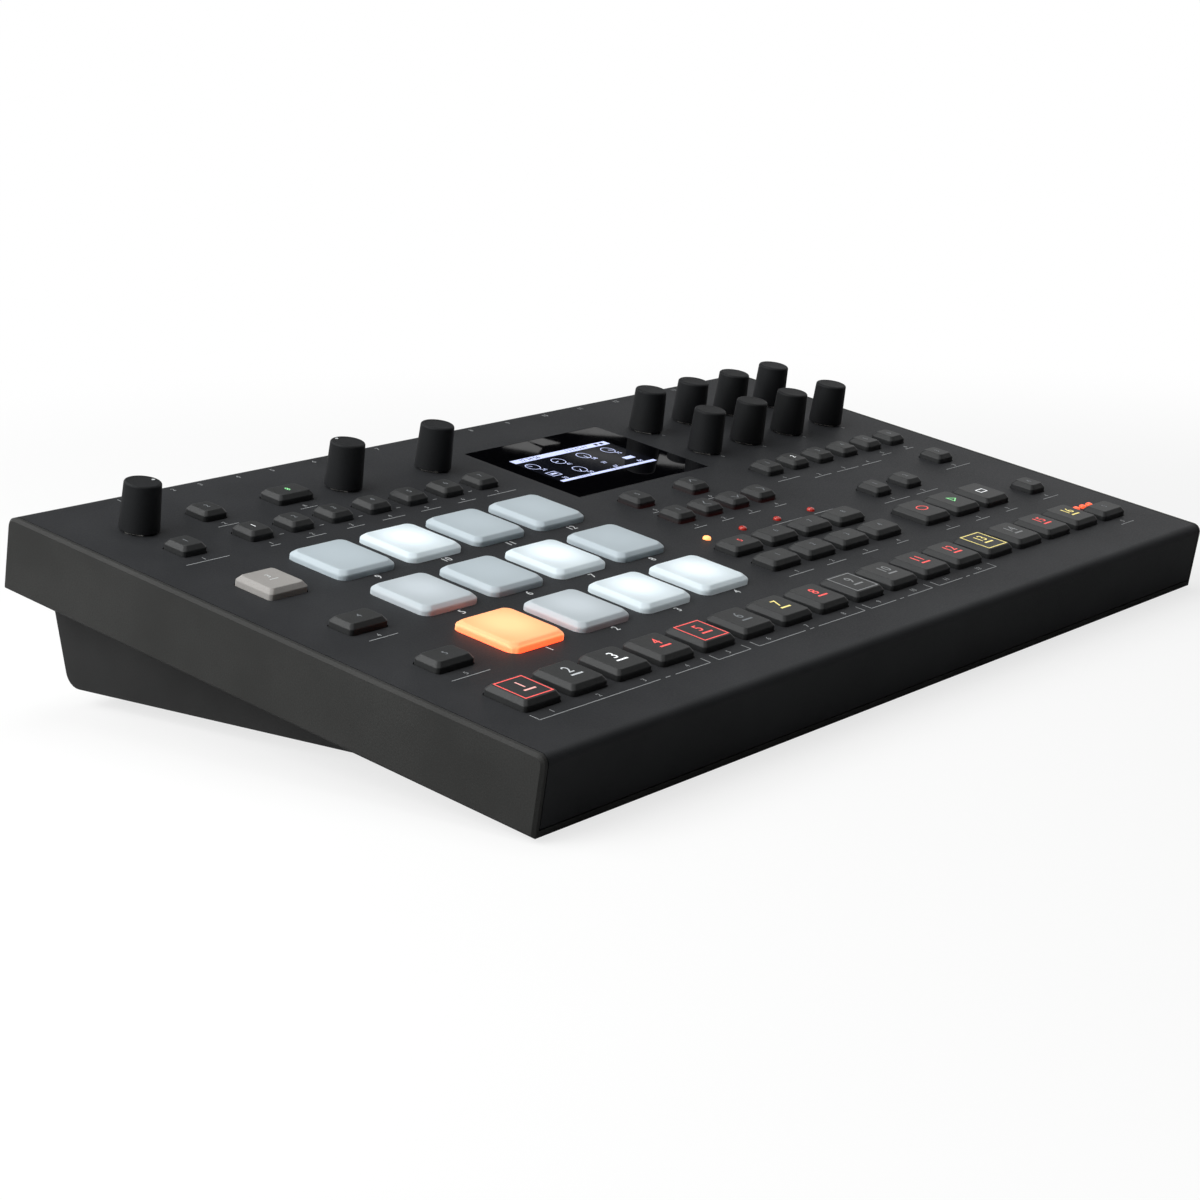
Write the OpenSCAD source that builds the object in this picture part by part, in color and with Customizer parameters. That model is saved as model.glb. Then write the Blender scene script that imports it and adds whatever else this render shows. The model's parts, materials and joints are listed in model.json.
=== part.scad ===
// Table-top drum machine: a slab full of keys, pads and knobs, tilted by a wedge-shaped pan.
// The slab's pieces are drawn flat, with u to the right, v to the rear and n out of the panel,
// and slab() tilts them into place. The pan, the feet and the sockets are drawn level.
// The origin is the middle of the rectangle that the machine covers, on the table.

/* [Slab] */
// Width of the slab, left to right
body_w = 385; // [381:1:410]
// Depth of the slab, front to rear along the panel
body_d = 218; // [214:1:235]
// Thickness of the slab
slab_t = 23.8; // [22.6:0.1:28]
// Tilt of the panel in degrees
tilt = 10.6; // [9:0.1:11.5]
// Sheet thickness of the folded top panel
panel_t = 1.6; // [1.2:0.1:2]
// Thickness of the two side plates
cheek_t = 2.1; // [1.8:0.1:4]
// Chamfer round the outer face of the side plates
cheek_chamfer = 0.9; // [0.5:0.1:1.1]
// Thickness of the tray's floor, seen as a lip under the front
floor_t = 2; // [1.4:0.1:2.4]
// Open seam between the top panel and the tray
seam = 0.4; // [0.3:0.1:0.8]
// Outer radius of the panel's folds and of the side plates' corners
fold_r = 3; // [2.4:0.1:4.5]

/* [Wedge pan and feet] */
// Distance from the slab's front to the pan's thin edge, along the slab's floor
pan_front = 25.4; // [22:0.1:27]
// Distance from the slab's rear to the pan's rear wall, along the slab's floor
pan_rear = 3.3; // [2:0.1:6]
// Inset of the pan's sides from the slab's sides where they meet
pan_side_top = 16; // [12:0.5:20]
// Inset of the pan's sides at the floor
pan_side_foot = 20; // [18:0.5:24]
// Lean of the pan's rear wall from the vertical in degrees
pan_lean = 2.6; // [0:0.1:4]
// Wall thickness of the pan
pan_wall = 2; // [1.6:0.1:2.6]
// Radius of the pan's lower rear edge
pan_r = 5; // [3:0.5:7]
// Height of the rubber feet
foot_h = 6; // [5.4:0.1:8]
// Diameter of the rubber feet
foot_d = 14; // [10:0.5:18]
// Distance of the feet from the pan's sides
foot_side = 30; // [26:1:40]
// Distance of the feet from the pan's thin edge and rear wall
foot_end = 22; // [18:1:26]

/* [Keys] */
// Width and depth of a large square key
key_size = 16; // [15:0.1:16.6]
// Width and depth of a small square key, also the depth of a wide one
small_size = 10; // [9:0.1:10.6]
// Corner radius of the keys
key_r = 1.5; // [1:0.1:2.4]
// Height of a key's upright side above the panel
key_side = 1.7; // [1:0.1:2.4]
// Height of a key's flat top above the panel
key_top = 3.2; // [2.8:0.1:4]
// Width of the sloping edge round a key's top
key_bevel = 1.3; // [0.8:0.1:1.8]
// Slit between a key and the panel
key_gap = 0.35; // [0.3:0.05:0.5]
// Travel of a key
key_travel = 0.8; // [0.4:0.1:1]
// Width of the flange that keeps a key in the panel
flange_w = 0.9; // [0.7:0.1:1.2]
// Thickness of the flange
flange_t = 0.8; // [0.6:0.1:1]
// Room between the flange and the underside of the panel
flange_gap = 0.3; // [0.3:0.05:0.5]
// Diameter of the stem under a key
stem_d = 3.4; // [3:0.1:4]

/* [Pads] */
// Width and depth of a pad
pad_size = 24.6; // [23:0.1:25]
// Corner radius of the pads
pad_r = 3.5; // [2:0.1:5]
// Height of a pad's upright side above the panel
pad_side = 1.3; // [0.8:0.1:2]
// Height of a pad's flat top above the panel
pad_top = 2.7; // [2.4:0.1:3.5]
// Width of the rounded edge of a pad's top
pad_bevel = 1.7; // [1:0.1:2.4]
// Slit between a pad and the panel
pad_gap = 0.3; // [0.3:0.05:0.5]
// Travel of a pad
pad_travel = 0.8; // [0.4:0.1:1]
// Diameter of the plunger under a pad
plunger_d = 9; // [7:0.5:11]

/* [Knobs and encoders] */
// Diameter of a knob at its foot
knob_d = 13; // [12.4:0.1:15]
// Diameter of a knob at its top
knob_top_d = 11.8; // [11:0.1:12.4]
// Height of a knob's top above the panel
knob_top = 16.1; // [14:0.1:20]
// Gap between a knob's foot and the panel
knob_lift = 0.6; // [0.4:0.1:1]
// Radius of a knob's top edge
knob_edge = 0.8; // [0.4:0.1:1.2]
// Diameter of the encoder shafts
shaft_d = 6; // [5:0.1:6.2]
// Diameter of the threaded bushing round a shaft
bushing_d = 8.4; // [8:0.1:8.8]
// Height of the bushing above the panel
bushing_top = 3; // [2.6:0.1:4]
// Width across the flats of the nut on the bushing
nut_w = 10; // [9.6:0.1:10.2]
// Thickness of the nut
nut_t = 1.6; // [1.2:0.1:2]
// Width and depth of an encoder's body
encoder_size = 12; // [11:0.1:13]

/* [Display] */
// Width of the display window
window_w = 75.1; // [70:0.1:77]
// Depth of the display window
window_d = 53.5; // [50:0.1:54]
// Width of the lit area
screen_w = 52.8; // [48:0.1:56]
// Depth of the lit area
screen_d = 25.9; // [22:0.1:30]
// Width of the module's frame behind the window's edge
bezel = 2; // [1.5:0.1:2.4]

/* [Layout] */
// Distance from the left side to the left column of controls
left_side = 27.2; // [26:0.1:28]
// Distance from the right column of controls to the right side
right_side = 26.6; // [26:0.1:28]
// Distance from the front to the middle of the step keys
step_front = 31; // [29.5:0.1:31.5]
// Distance from the left column to the first column of pads
pads_side = 35.2; // [34:0.1:35.6]
// Distance from the step keys to the first row of pads
pads_gap = 35; // [34.5:0.1:36]
// Pitch of the pads, left to right
pad_pitch_u = 31.2; // [29.5:0.1:31.6]
// Pitch of the pads, front to rear
pad_pitch_v = 34.4; // [33:0.1:34.8]
// Distance from the panel's rear edge to the row of keys behind the mode row
upper_rear = 29.4; // [28.5:0.1:31]
// Distance from that row to the mode row
mode_gap = 21.2; // [20:0.1:22.5]
// Distance from the left column to the first small key of the mode row
modes_side = 28.6; // [28:0.1:30]
// Pitch of the mode row
mode_pitch = 18.03; // [17.6:0.01:18.2]
// Distance from the panel's rear edge to the three knobs at the left of the display
knob_rear = 29.8; // [29:0.1:31]
// Distance from the right one of those knobs to the display window
data_gap = 23.25; // [22.5:0.05:24.5]
// Distance between the middle one and the right one of those knobs
level_gap = 44.8; // [44:0.1:45.6]
// Distance from the step keys to the front one of the wide left keys
left_front_gap = 29.3; // [27:0.1:33]
// Distance from that key to the wide key behind it
left_rear_gap = 33.8; // [32:0.1:36]
// Distance from the rear wide key to the large left key
left_large_gap = 35.8; // [34:0.1:38]
// Distance from the last transport key to the right column
transport_side = 29.9; // [29:0.1:31]
// Distance from the step keys to the transport keys
transport_gap = 32.7; // [31:0.1:34]
// Distance from the transport keys to the pair of small keys behind them
pair_gap = 26.1; // [24:0.1:28]
// Sideways shift of that pair from the transport keys
pair_shift = 8.9; // [8:0.1:10]
// Distance from the end key of the step row to the single key behind it
single_gap = 32.7; // [30.5:0.1:36]
// Distance between the two single keys at the right
single_rows = 41.1; // [39:0.1:43]
// Distance from the step keys to the middle of the bank keys
bank_gap = 37.75; // [37:0.05:39]
// Distance between the two rows of bank keys
bank_rows = 15.5; // [14:0.1:16]
// Distance from the display window to the rear row of answer and arrow keys
cursor_gap = 13.95; // [12.5:0.05:15]
// Distance between the two rows of answer and arrow keys
cursor_rows = 17.9; // [16:0.1:18.2]
// Distance from the middle of the display back to the first column of answer and arrow keys
cursor_shift = 23.4; // [22.5:0.1:24.3]
// Pitch of the answer and arrow keys
cursor_pitch = 15.9; // [15.4:0.1:16.2]
// Distance from the last column of encoders to the right side
encoder_side = 27.2; // [26.5:0.1:28.5]
// Distance from the rear row of encoders to the panel's rear edge
encoder_rear = 36; // [34:0.1:37.5]
// Pitch of the encoders, left to right
encoder_pitch_u = 27; // [25:0.1:27.4]
// Pitch of the encoders, front to rear
encoder_pitch_v = 28.2; // [26:0.1:29]
// Distance from the front row of encoders to the page keys
page_gap = 28; // [27:0.1:29.5]
// Sideways shift of the first page key from the first encoder
page_shift = 1.2; // [0:0.1:2]
// Pitch of the page keys
page_pitch = 16.55; // [15.8:0.05:16.8]
// Distance from the display window to the first column of encoders
display_gap = 15.65; // [14.8:0.05:16.8]
// Distance from the display window to the panel's rear edge
display_rear = 24.25; // [23:0.05:25]

/* [Lights] */
// Diameter of the four beat lights
light_d = 2.8; // [2.4:0.1:3.4]
// Diameter of the three page lights
small_light_d = 2.8; // [2.2:0.1:3.4]
// Height of the lights above the panel
light_top = 1.1; // [0.8:0.1:1.6]
// Distance from the rear row of bank keys to the beat lights
light_gap = 12.4; // [11.6:0.1:14]
// Sideways shift of the beat lights from the bank keys
light_shift = 1.4; // [0:0.1:2]
// Distance from the edge of the step row's end key to the middle of the page lights
small_light_gap = 3.6; // [3.2:0.1:5]
// Pitch of the page lights
small_light_pitch = 4.9; // [4.4:0.1:5.4]

/* [Boards and switches] */
// Distance from the underside of the panel to the control board
board_drop = 8; // [7.6:0.1:8.6]
// Thickness of the circuit boards
board_t = 1.6; // [1.2:0.1:2]
// Margin between the control board and the inside of the case
board_margin = 10; // [8:0.5:12]
// Height of a key switch
switch_h = 3.8; // [3.4:0.1:4]
// Width and depth of a key switch
switch_size = 6.2; // [5.8:0.1:7]
// How far a stem reaches into its switch at rest
stem_in = 1.6; // [1.2:0.1:2]
// Radial clearance of a stem in its switch
stem_clear = 0.15; // [0.1:0.05:0.25]
// Radial clearance of a shaft in its bushing and of a knob on its shaft
shaft_clear = 0.05; // [0.03:0.01:0.1]
// Clearance round whatever passes through a sheet or board
pass_clear = 0.3; // [0.2:0.05:0.5]
// Diameter of the panel's studs that carry the control board
stud_d = 5; // [4.4:0.1:5.6]

/* [Rear sockets] */
// Height of the sockets' middle above the table
socket_z = 24; // [23:0.1:25]
// Distance from the left side to the first jack
jack_side = 41.6; // [41.2:0.1:43]
// Pitch of the jacks
jack_pitch = 17; // [16:0.1:17.4]
// Radius of a jack's bore
jack_bore_r = 3.25; // [3.2:0.05:3.4]
// Depth of a jack's bore
jack_depth = 26; // [20:1:26]
// Width and length of a jack's housing
jack_w = 14; // [13:0.5:15]
jack_l = 28; // [27:0.5:32]
// Distance from the last jack to the first round data socket
din_gap = 50.4; // [48:0.1:51.5]
// Pitch of the round data sockets
din_pitch = 21.2; // [20.6:0.1:21.6]
// Radius of a round data socket's bore
din_bore_r = 6.6; // [6.2:0.1:7]
// Width of a round data socket's housing
din_w = 19; // [18:0.5:20]
// Depth of the bores of the data sockets and the power inlet
short_depth = 9; // [7:0.5:11]
// Length of the housings of the data sockets, the power inlet and the power switch
short_l = 14; // [13:0.5:18]
// Distance from the last round data socket to the square one
usb_gap = 22.6; // [21.6:0.1:24]
// Width of the square data socket
usb_w = 12; // [11.6:0.1:13]
// Height of the square data socket
usb_h = 11; // [10.6:0.1:12]
// Wall thickness of the square data socket
usb_wall = 1.6; // [1.2:0.1:2]
// Distance from the square data socket to the power inlet
inlet_gap = 21; // [19:0.5:25]
// Radius of the power inlet's bore
inlet_bore_r = 3.1; // [3:0.1:3.6]
// Width of the power inlet's housing
inlet_w = 10; // [9.6:0.1:12]
// Distance from the power inlet to the power button
power_gap = 40; // [33:1:44]
// Diameter of the power button
power_d = 9; // [7:0.5:11]
// Travel of the power button
power_travel = 2; // [1:0.1:3]

/* [Screws] */
// Diameter of the case screws
screw_d = 3; // [2.5:0.1:3.4]
// Diameter of their heads
head_d = 5.6; // [5:0.1:6.4]
// Height of their heads
head_h = 1.4; // [1.2:0.1:1.6]
// Radial clearance of a screw in its hole
screw_clear = 0.05; // [0.03:0.01:0.1]
// Diameter of the front standoffs and of the pan's screw posts
post_d = 9; // [8.4:0.1:10]

/* [Hidden] */
steps = 16;
pads = 12;
encoders = 8;

// The slab's place: the origin is the middle of the rectangle that the slab covers.
ct = cos(tilt);
st = sin(tilt);
front_y = fold_r * (ct + st - 1);
rear_y = body_d * ct + slab_t * st;
slab_y = -(front_y + rear_y) / 2;
slab_z = foot_h - pan_front * st + slab_t * ct;

// Levels in the slab, measured along n from the panel's top.
board_n = -panel_t - board_drop;
board_under_n = board_n - board_t;
floor_n = -slab_t + floor_t;
flange_n = -panel_t - flange_gap;
switch_n = board_n + switch_h;
stem_n = switch_n - stem_in;

// The side plates' inner faces, and the panel between them.
panel_u0 = cheek_t + seam;
panel_w = body_w - 2 * panel_u0;
skirt_n = floor_n + seam;

// The controls keep their share of the panel where the slab is made wider or deeper than drawn.
drawn_w = 385;
drawn_d = 218;
wide = body_w / drawn_w;
deep = body_d / drawn_d;

// Columns, from both sides towards the middle.
left_u = left_side * wide;
right_u = body_w - right_side * wide;
step_pitch = (right_u - left_u) / steps;
bank_u = left_u + 8 * step_pitch;
pads_u = left_u + pads_side * wide;
modes_u = left_u + modes_side * wide;
transport_u = right_u - transport_side * wide - 2 * step_pitch;
pair_u = transport_u + pair_shift * wide;
encoder_u = body_w - (encoder_side + 3 * encoder_pitch_u) * wide;
page_u = encoder_u + page_shift * wide;
display_u = encoder_u - display_gap * wide - window_w / 2;
cursor_u = display_u - cursor_shift * wide;
data_u = display_u - window_w / 2 - data_gap * wide;
level_u = data_u - level_gap * wide;

// Rows, from the front and from the rear edge.
step_v = step_front * deep;
step_end_v = step_v - (key_size - small_size) / 2;
pads_v = step_v + pads_gap * deep;
left_front_v = step_v + left_front_gap * deep;
left_rear_v = left_front_v + left_rear_gap * deep;
left_large_v = left_rear_v + left_large_gap * deep;
transport_v = step_v + transport_gap * deep;
pair_v = transport_v + pair_gap * deep;
single_front_v = step_end_v + single_gap * deep;
single_rear_v = single_front_v + single_rows * deep;
bank_front_v = step_v + (bank_gap - bank_rows / 2) * deep;
bank_rear_v = bank_front_v + bank_rows * deep;
light_v = bank_rear_v + light_gap * deep;
small_light_v = step_end_v + small_size / 2 + small_light_gap;
upper_v = body_d - upper_rear * deep;
mode_v = upper_v - mode_gap * deep;
knob_row_v = body_d - knob_rear * deep;
encoder_rear_v = body_d - encoder_rear * deep;
encoder_front_v = encoder_rear_v - encoder_pitch_v * deep;
page_v = encoder_front_v - page_gap * deep;
display_v = body_d - display_rear * deep - window_d / 2;
cursor_rear_v = display_v - window_d / 2 - cursor_gap * deep;
cursor_front_v = cursor_rear_v - cursor_rows * deep;

function large_keys(u, n, pitch, v) = [for (i = [0:n - 1]) [u + i * pitch, v, key_size, key_size]];
function small_keys(u, n, pitch, v) = [for (i = [0:n - 1]) [u + i * pitch, v, small_size, small_size]];
function wide_keys(u, n, pitch, v) = [for (i = [0:n - 1]) [u + i * pitch, v, key_size, small_size]];

// Keys as [u, v, width, depth]. Bank keys stand over the ninth to twelfth step keys.
step_list = large_keys(left_u, steps, step_pitch, step_v);
mode_list = concat(
    small_keys(modes_u, 7, mode_pitch * wide, mode_v),
    wide_keys(modes_u + 2 * mode_pitch * wide, 1, 0, upper_v)
);
function_list = concat(
    small_keys(left_u, 1, 0, mode_v),
    small_keys(modes_u, 1, 0, upper_v),
    large_keys(left_u, 1, 0, left_large_v),
    wide_keys(left_u, 1, 0, left_rear_v),
    wide_keys(left_u, 1, 0, left_front_v)
);
cursor_list = concat(
    small_keys(cursor_u, 4, cursor_pitch * wide, cursor_front_v),
    small_keys(cursor_u, 2, 2 * cursor_pitch * wide, cursor_rear_v)
);
page_list = small_keys(page_u, 6, page_pitch * wide, page_v);
bank_list = concat(
    wide_keys(bank_u, 4, step_pitch, bank_front_v),
    wide_keys(bank_u, 4, step_pitch, bank_rear_v)
);
side_list = concat(
    small_keys(pair_u, 2, step_pitch, pair_v),
    small_keys(right_u, 1, 0, single_rear_v),
    small_keys(right_u, 1, 0, single_front_v),
    wide_keys(right_u, 1, 0, step_end_v)
);
transport_list = large_keys(transport_u, 3, step_pitch, transport_v);
key_list = concat(step_list, mode_list, function_list, cursor_list, page_list,
                  bank_list, side_list, transport_list);

function grid(u, v, columns, rows, pitch_u, pitch_v) =
    [for (r = [0:rows - 1]) for (c = [0:columns - 1]) [u + c * pitch_u, v + r * pitch_v]];

// Pad 1 is at the front left, and the rows count towards the rear.
pad_list = grid(pads_u, pads_v, 4, 3, pad_pitch_u * wide, pad_pitch_v * deep);
// Encoder 1 is at the rear left of its block, and the rows count towards the front.
encoder_list = grid(encoder_u, encoder_rear_v, 4, 2, encoder_pitch_u * wide, -encoder_pitch_v * deep);
volume_at = [left_u, knob_row_v];
level_at = [level_u, knob_row_v];
data_at = [data_u, knob_row_v];
knob_list = concat([volume_at, level_at, data_at], encoder_list);

// Lights as [u, v, diameter].
light_list = concat(
    [for (i = [0:3]) [bank_u - light_shift + i * step_pitch, light_v, light_d]],
    [for (i = [-1:1]) [right_u + i * small_light_pitch, small_light_v, small_light_d]]
);

// Studs between the panel and the control board, standing where no key is.
board_u0 = cheek_t + board_margin;
board_w = body_w - 2 * board_u0;
board_v0 = panel_t + board_margin;
board_d = body_d - 2 * board_v0;
pad_cross_u = pads_u + pad_pitch_u * wide / 2;
pad_cross_v = pads_v + pad_pitch_v * deep / 2;
stud_list = [
    [board_u0 + stud_d / 2, step_v + key_size],
    [board_u0 + board_w - stud_d / 2, step_v + key_size],
    [pad_cross_u, pad_cross_v],
    [pad_cross_u + 2 * pad_pitch_u * wide, pad_cross_v + pad_pitch_v * deep],
    [transport_u - step_pitch / 2, light_v + stud_d / 2 + light_d],
    [board_u0 + stud_d / 2, mode_v - 2 * small_size],
    [board_u0 + board_w - stud_d / 2, mode_v - 2 * small_size],
    [display_u, board_v0 + board_d - stud_d / 2]
];

// Screws: four up through the tray's floor into the panel's standoffs, four in through the
// panel's rear face, and four up through the pan's posts into the tray's floor.
screw_span = (body_w - 2 * cheek_t) / 4;
screw_us = [for (i = [0:3]) cheek_t + screw_span * (i + 0.5)];
standoff_v = panel_t + board_margin / 2;
rear_screw_n = -slab_t / 3;
tab_t = 5;
tab_w = 12;
pan_post_side = 25;
pan_post_front = 32;
pan_post_rear = 78;
pan_post_list = [for (u = [pan_side_foot + pan_post_side, body_w - pan_side_foot - pan_post_side])
    for (v = [pan_front + pan_post_front, body_d - pan_post_rear]) [u, v]];
post_roof = 3;
screw_reach = 2.5;
standoff_screw = 6;

module slab() {
    translate([-body_w / 2, slab_y, slab_z])
        rotate([tilt, 0, 0])
            children();
}

module at(u, v, n = 0) {
    translate([u, v, n])
        children();
}

// A rectangle with round corners, drawn about its middle.
module rounded(w, d, r) {
    square([w - 2 * r, d], center = true);
    square([w, d - 2 * r], center = true);
    for (x = [-1, 1]) {
        for (y = [-1, 1]) {
            translate([x * (w / 2 - r), y * (d / 2 - r)])
                circle(r, $fn = 32);
        }
    }
}

// A cylinder that stands on n0 and ends at n1.
module post(d, n0, n1) {
    translate([0, 0, n0])
        cylinder(d = d, h = n1 - n0, $fn = 48);
}

// The corners of a rounded rectangle at height n, counter-clockwise, with arc points each.
function ring(w, d, r, n, arc) = [
    for (c = [0:3])
        let (x = (c == 0 || c == 3 ? 1 : -1) * (w / 2 - r), y = (c < 2 ? 1 : -1) * (d / 2 - r))
            for (j = [0:arc - 1])
                let (a = 90 * c + 90 * j / (arc - 1))
                    [x + r * cos(a), y + r * sin(a), n]
];

// A solid through rings of equal length, from the lowest to the highest.
module loft(rings) {
    count = len(rings[0]);
    last = count * (len(rings) - 1);
    points = [for (each_ring = rings) each each_ring];
    sides = [
        for (k = [0:len(rings) - 2])
            for (i = [0:count - 1])
                let (a = k * count + i, b = k * count + (i + 1) % count)
                    each [[a, a + count, b + count], [a, b + count, b]]
    ];
    ends = [[for (i = [0:count - 1]) i], [for (i = [count - 1:-1:0]) last + i]];
    polyhedron(points = points, faces = concat(sides, ends));
}

// The moulded cap of a key: a flange under the panel, an upright side and a sloping edge.
module key_cap(w, d) {
    f = flange_w + key_gap;
    arc = 4;
    loft([
        ring(w + 2 * f, d + 2 * f, key_r + f, flange_n - flange_t, arc),
        ring(w + 2 * f, d + 2 * f, key_r + f, flange_n, arc),
        ring(w, d, key_r, flange_n, arc),
        ring(w, d, key_r, key_side, arc),
        ring(w - 2 * key_bevel, d - 2 * key_bevel, max(key_r - key_bevel / 2, 0.3), key_top, arc)
    ]);
}

// One key: the cap with the stem that works its switch.
module key(k) {
    at(k[0], k[1]) {
        key_cap(k[2], k[3]);
        post(stem_d, stem_n, flange_n - flange_t);
    }
}

module keys(list) {
    slab() {
        for (k = list) {
            key(k);
        }
    }
}

// One pad: a silicone cushion with a rounded edge, and the plunger that presses its sensor.
module pad(i) {
    f = flange_w + pad_gap;
    arc = 5;
    half_bevel = pad_bevel * (1 - cos(45));
    shoulder = pad_side + (pad_top - pad_side) * sin(45);
    color("lightsteelblue")
        slab()
            at(pad_list[i - 1][0], pad_list[i - 1][1]) {
                loft([
                    ring(pad_size + 2 * f, pad_size + 2 * f, pad_r + f, flange_n - flange_t, arc),
                    ring(pad_size + 2 * f, pad_size + 2 * f, pad_r + f, flange_n, arc),
                    ring(pad_size, pad_size, pad_r, flange_n, arc),
                    ring(pad_size, pad_size, pad_r, pad_side, arc),
                    ring(pad_size - 2 * half_bevel, pad_size - 2 * half_bevel,
                         pad_r - half_bevel, shoulder, arc),
                    ring(pad_size - 2 * pad_bevel, pad_size - 2 * pad_bevel,
                         max(pad_r - pad_bevel, 0.3), pad_top, arc)
                ]);
                post(plunger_d, stem_n, flange_n - flange_t);
            }
}

// One knob on its shaft. The hollow in its foot clears the bushing and the nut.
nut_r = nut_w / 2 / cos(30);
hollow_r = min(nut_r + pass_clear, knob_d / 2 - 0.25);
hollow_n = bushing_top + pass_clear;
socket_top_n = knob_top - 3;
shaft_foot_n = board_n + 2;

module knob(place) {
    r = knob_d / 2;
    top_r = knob_top_d / 2;
    inner_r = shaft_d / 2 + shaft_clear;
    color("dimgray")
        slab()
            at(place[0], place[1]) {
                rotate_extrude($fn = 64) {
                    difference() {
                        union() {
                            polygon([
                                [0, knob_lift], [r, knob_lift], [top_r, knob_top - knob_edge],
                                [top_r - knob_edge, knob_top], [0, knob_top]
                            ]);
                            translate([top_r - knob_edge, knob_top - knob_edge])
                                circle(knob_edge, $fn = 32);
                        }
                        translate([-r, knob_lift - 1])
                            square([r + hollow_r, hollow_n - knob_lift + 1]);
                        translate([-r, 0])
                            square([r + inner_r, socket_top_n]);
                        translate([-2 * r, 0])
                            square([2 * r, 2 * knob_top]);
                    }
                }
                post(shaft_d, shaft_foot_n, socket_top_n - shaft_clear);
            }
}

// The panel: one sheet folded down at the front and the rear, with studs and standoffs inside.
module panel_fold() {
    difference() {
        translate([body_d / 2, -body_d / 2])
            rounded(body_d, body_d, fold_r);
        translate([body_d / 2, -body_d / 2 - panel_t])
            rounded(body_d - 2 * panel_t, body_d, max(fold_r - panel_t, 0.3));
        translate([-1, -body_d - 1])
            square([body_d + 2, body_d + 1 + skirt_n]);
    }
}

module panel_cuts() {
    for (k = key_list) {
        translate([k[0], k[1]])
            rounded(k[2] + 2 * key_gap, k[3] + 2 * key_gap, key_r + key_gap);
    }
    for (p = pad_list) {
        translate([p[0], p[1]])
            rounded(pad_size + 2 * pad_gap, pad_size + 2 * pad_gap, pad_r + pad_gap);
    }
    for (p = knob_list) {
        translate([p[0], p[1]])
            circle(d = bushing_d + 2 * screw_clear, $fn = 48);
    }
    for (p = light_list) {
        translate([p[0], p[1]])
            circle(d = p[2] + 2 * stem_clear, $fn = 32);
    }
    translate([display_u, display_v])
        square([window_w + 2 * stem_clear, window_d + 2 * stem_clear], center = true);
}

module top_panel() {
    color("#2f3133")
        slab()
            difference() {
                union() {
                    at(panel_u0, 0)
                        rotate([90, 0, 90])
                            linear_extrude(panel_w)
                                panel_fold();
                    for (p = stud_list) {
                        at(p[0], p[1])
                            post(stud_d, board_n, -panel_t);
                    }
                    for (u = screw_us) {
                        at(u, standoff_v)
                            post(post_d - 2, floor_n, -panel_t);
                    }
                }
                at(0, 0, -panel_t - 0.5)
                    linear_extrude(panel_t + 1)
                        panel_cuts();
                for (p = stud_list) {
                    at(p[0], p[1])
                        post(screw_d - 0.5 + 2 * screw_clear, board_n - 1, -panel_t - 2);
                }
                for (u = screw_us) {
                    at(u, standoff_v)
                        post(screw_d + 2 * screw_clear, floor_n - 1, floor_n + 10);
                    at(u, body_d - panel_t - 1, rear_screw_n)
                        rotate([-90, 0, 0])
                            post(screw_d + 2 * screw_clear, 0, panel_t + 2);
                }
            }
}

// The left side plate's outline at an inset, at a height in its thickness. Its upper corners
// follow the panel's folds, and its lower corners are sharp.
plate_arc = 7;
function plate_ring(inset, n) =
    let (
        w = body_d / 2 - inset,
        h = slab_t / 2 - inset,
        r = fold_r - inset,
        fold = [for (j = [0:plate_arc - 1]) 90 * j / (plate_arc - 1)]
    )
    concat(
        [for (a = fold) [w - r + r * cos(a), h - r + r * sin(a), n]],
        [for (a = fold) [-w + r - r * sin(a), h - r + r * cos(a), n]],
        [[-w, -h, n], [w, -h, n]]
    );

// The left side plate, with its chamfer round the outer face.
module side_plate() {
    at(0, body_d / 2, -slab_t / 2)
        rotate([90, 0, 90])
            loft([
                plate_ring(cheek_chamfer, 0),
                plate_ring(0, cheek_chamfer),
                plate_ring(0, cheek_t)
            ]);
}

// The tray: a floor between the two side plates, with tabs for the rear screws. The floor's
// front edge shows as a lip under the panel's front.
module base_tray() {
    color("#333537")
        slab()
            difference() {
                union() {
                    side_plate();
                    at(body_w, 0)
                        mirror([1, 0, 0])
                            side_plate();
                    at(cheek_t, 0, -slab_t)
                        cube([body_w - 2 * cheek_t, body_d, floor_t]);
                    for (u = screw_us) {
                        at(u - tab_w / 2, body_d - panel_t - tab_t, floor_n)
                            cube([tab_w, tab_t, rear_screw_n - floor_n + tab_w / 3]);
                    }
                }
                for (u = screw_us) {
                    at(u, standoff_v)
                        post(screw_d + 2 * screw_clear, -slab_t - 1, floor_n + 1);
                    at(u, body_d - panel_t - tab_t - 1, rear_screw_n)
                        rotate([-90, 0, 0])
                            post(screw_d + 2 * screw_clear, 0, tab_t + 2);
                }
                for (p = pan_post_list) {
                    at(p[0], p[1])
                        post(screw_d + 2 * screw_clear, -slab_t - 1, floor_n + 1);
                }
            }
}

// The pan's section across the slab, in level coordinates: [y, z] points from the thin edge
// along the floor, round the lower rear edge and up the rear wall to the slab's floor.
function level(v, n) = [v * ct - n * st + slab_y, v * st + n * ct + slab_z];
pan_thin = level(pan_front, -slab_t);
pan_high = level(body_d - pan_rear, -slab_t);
function wall_y(z, inset) = pan_high[0] + (z - pan_high[1]) * tan(pan_lean) - inset / cos(pan_lean);
arc_steps = 6;

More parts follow.
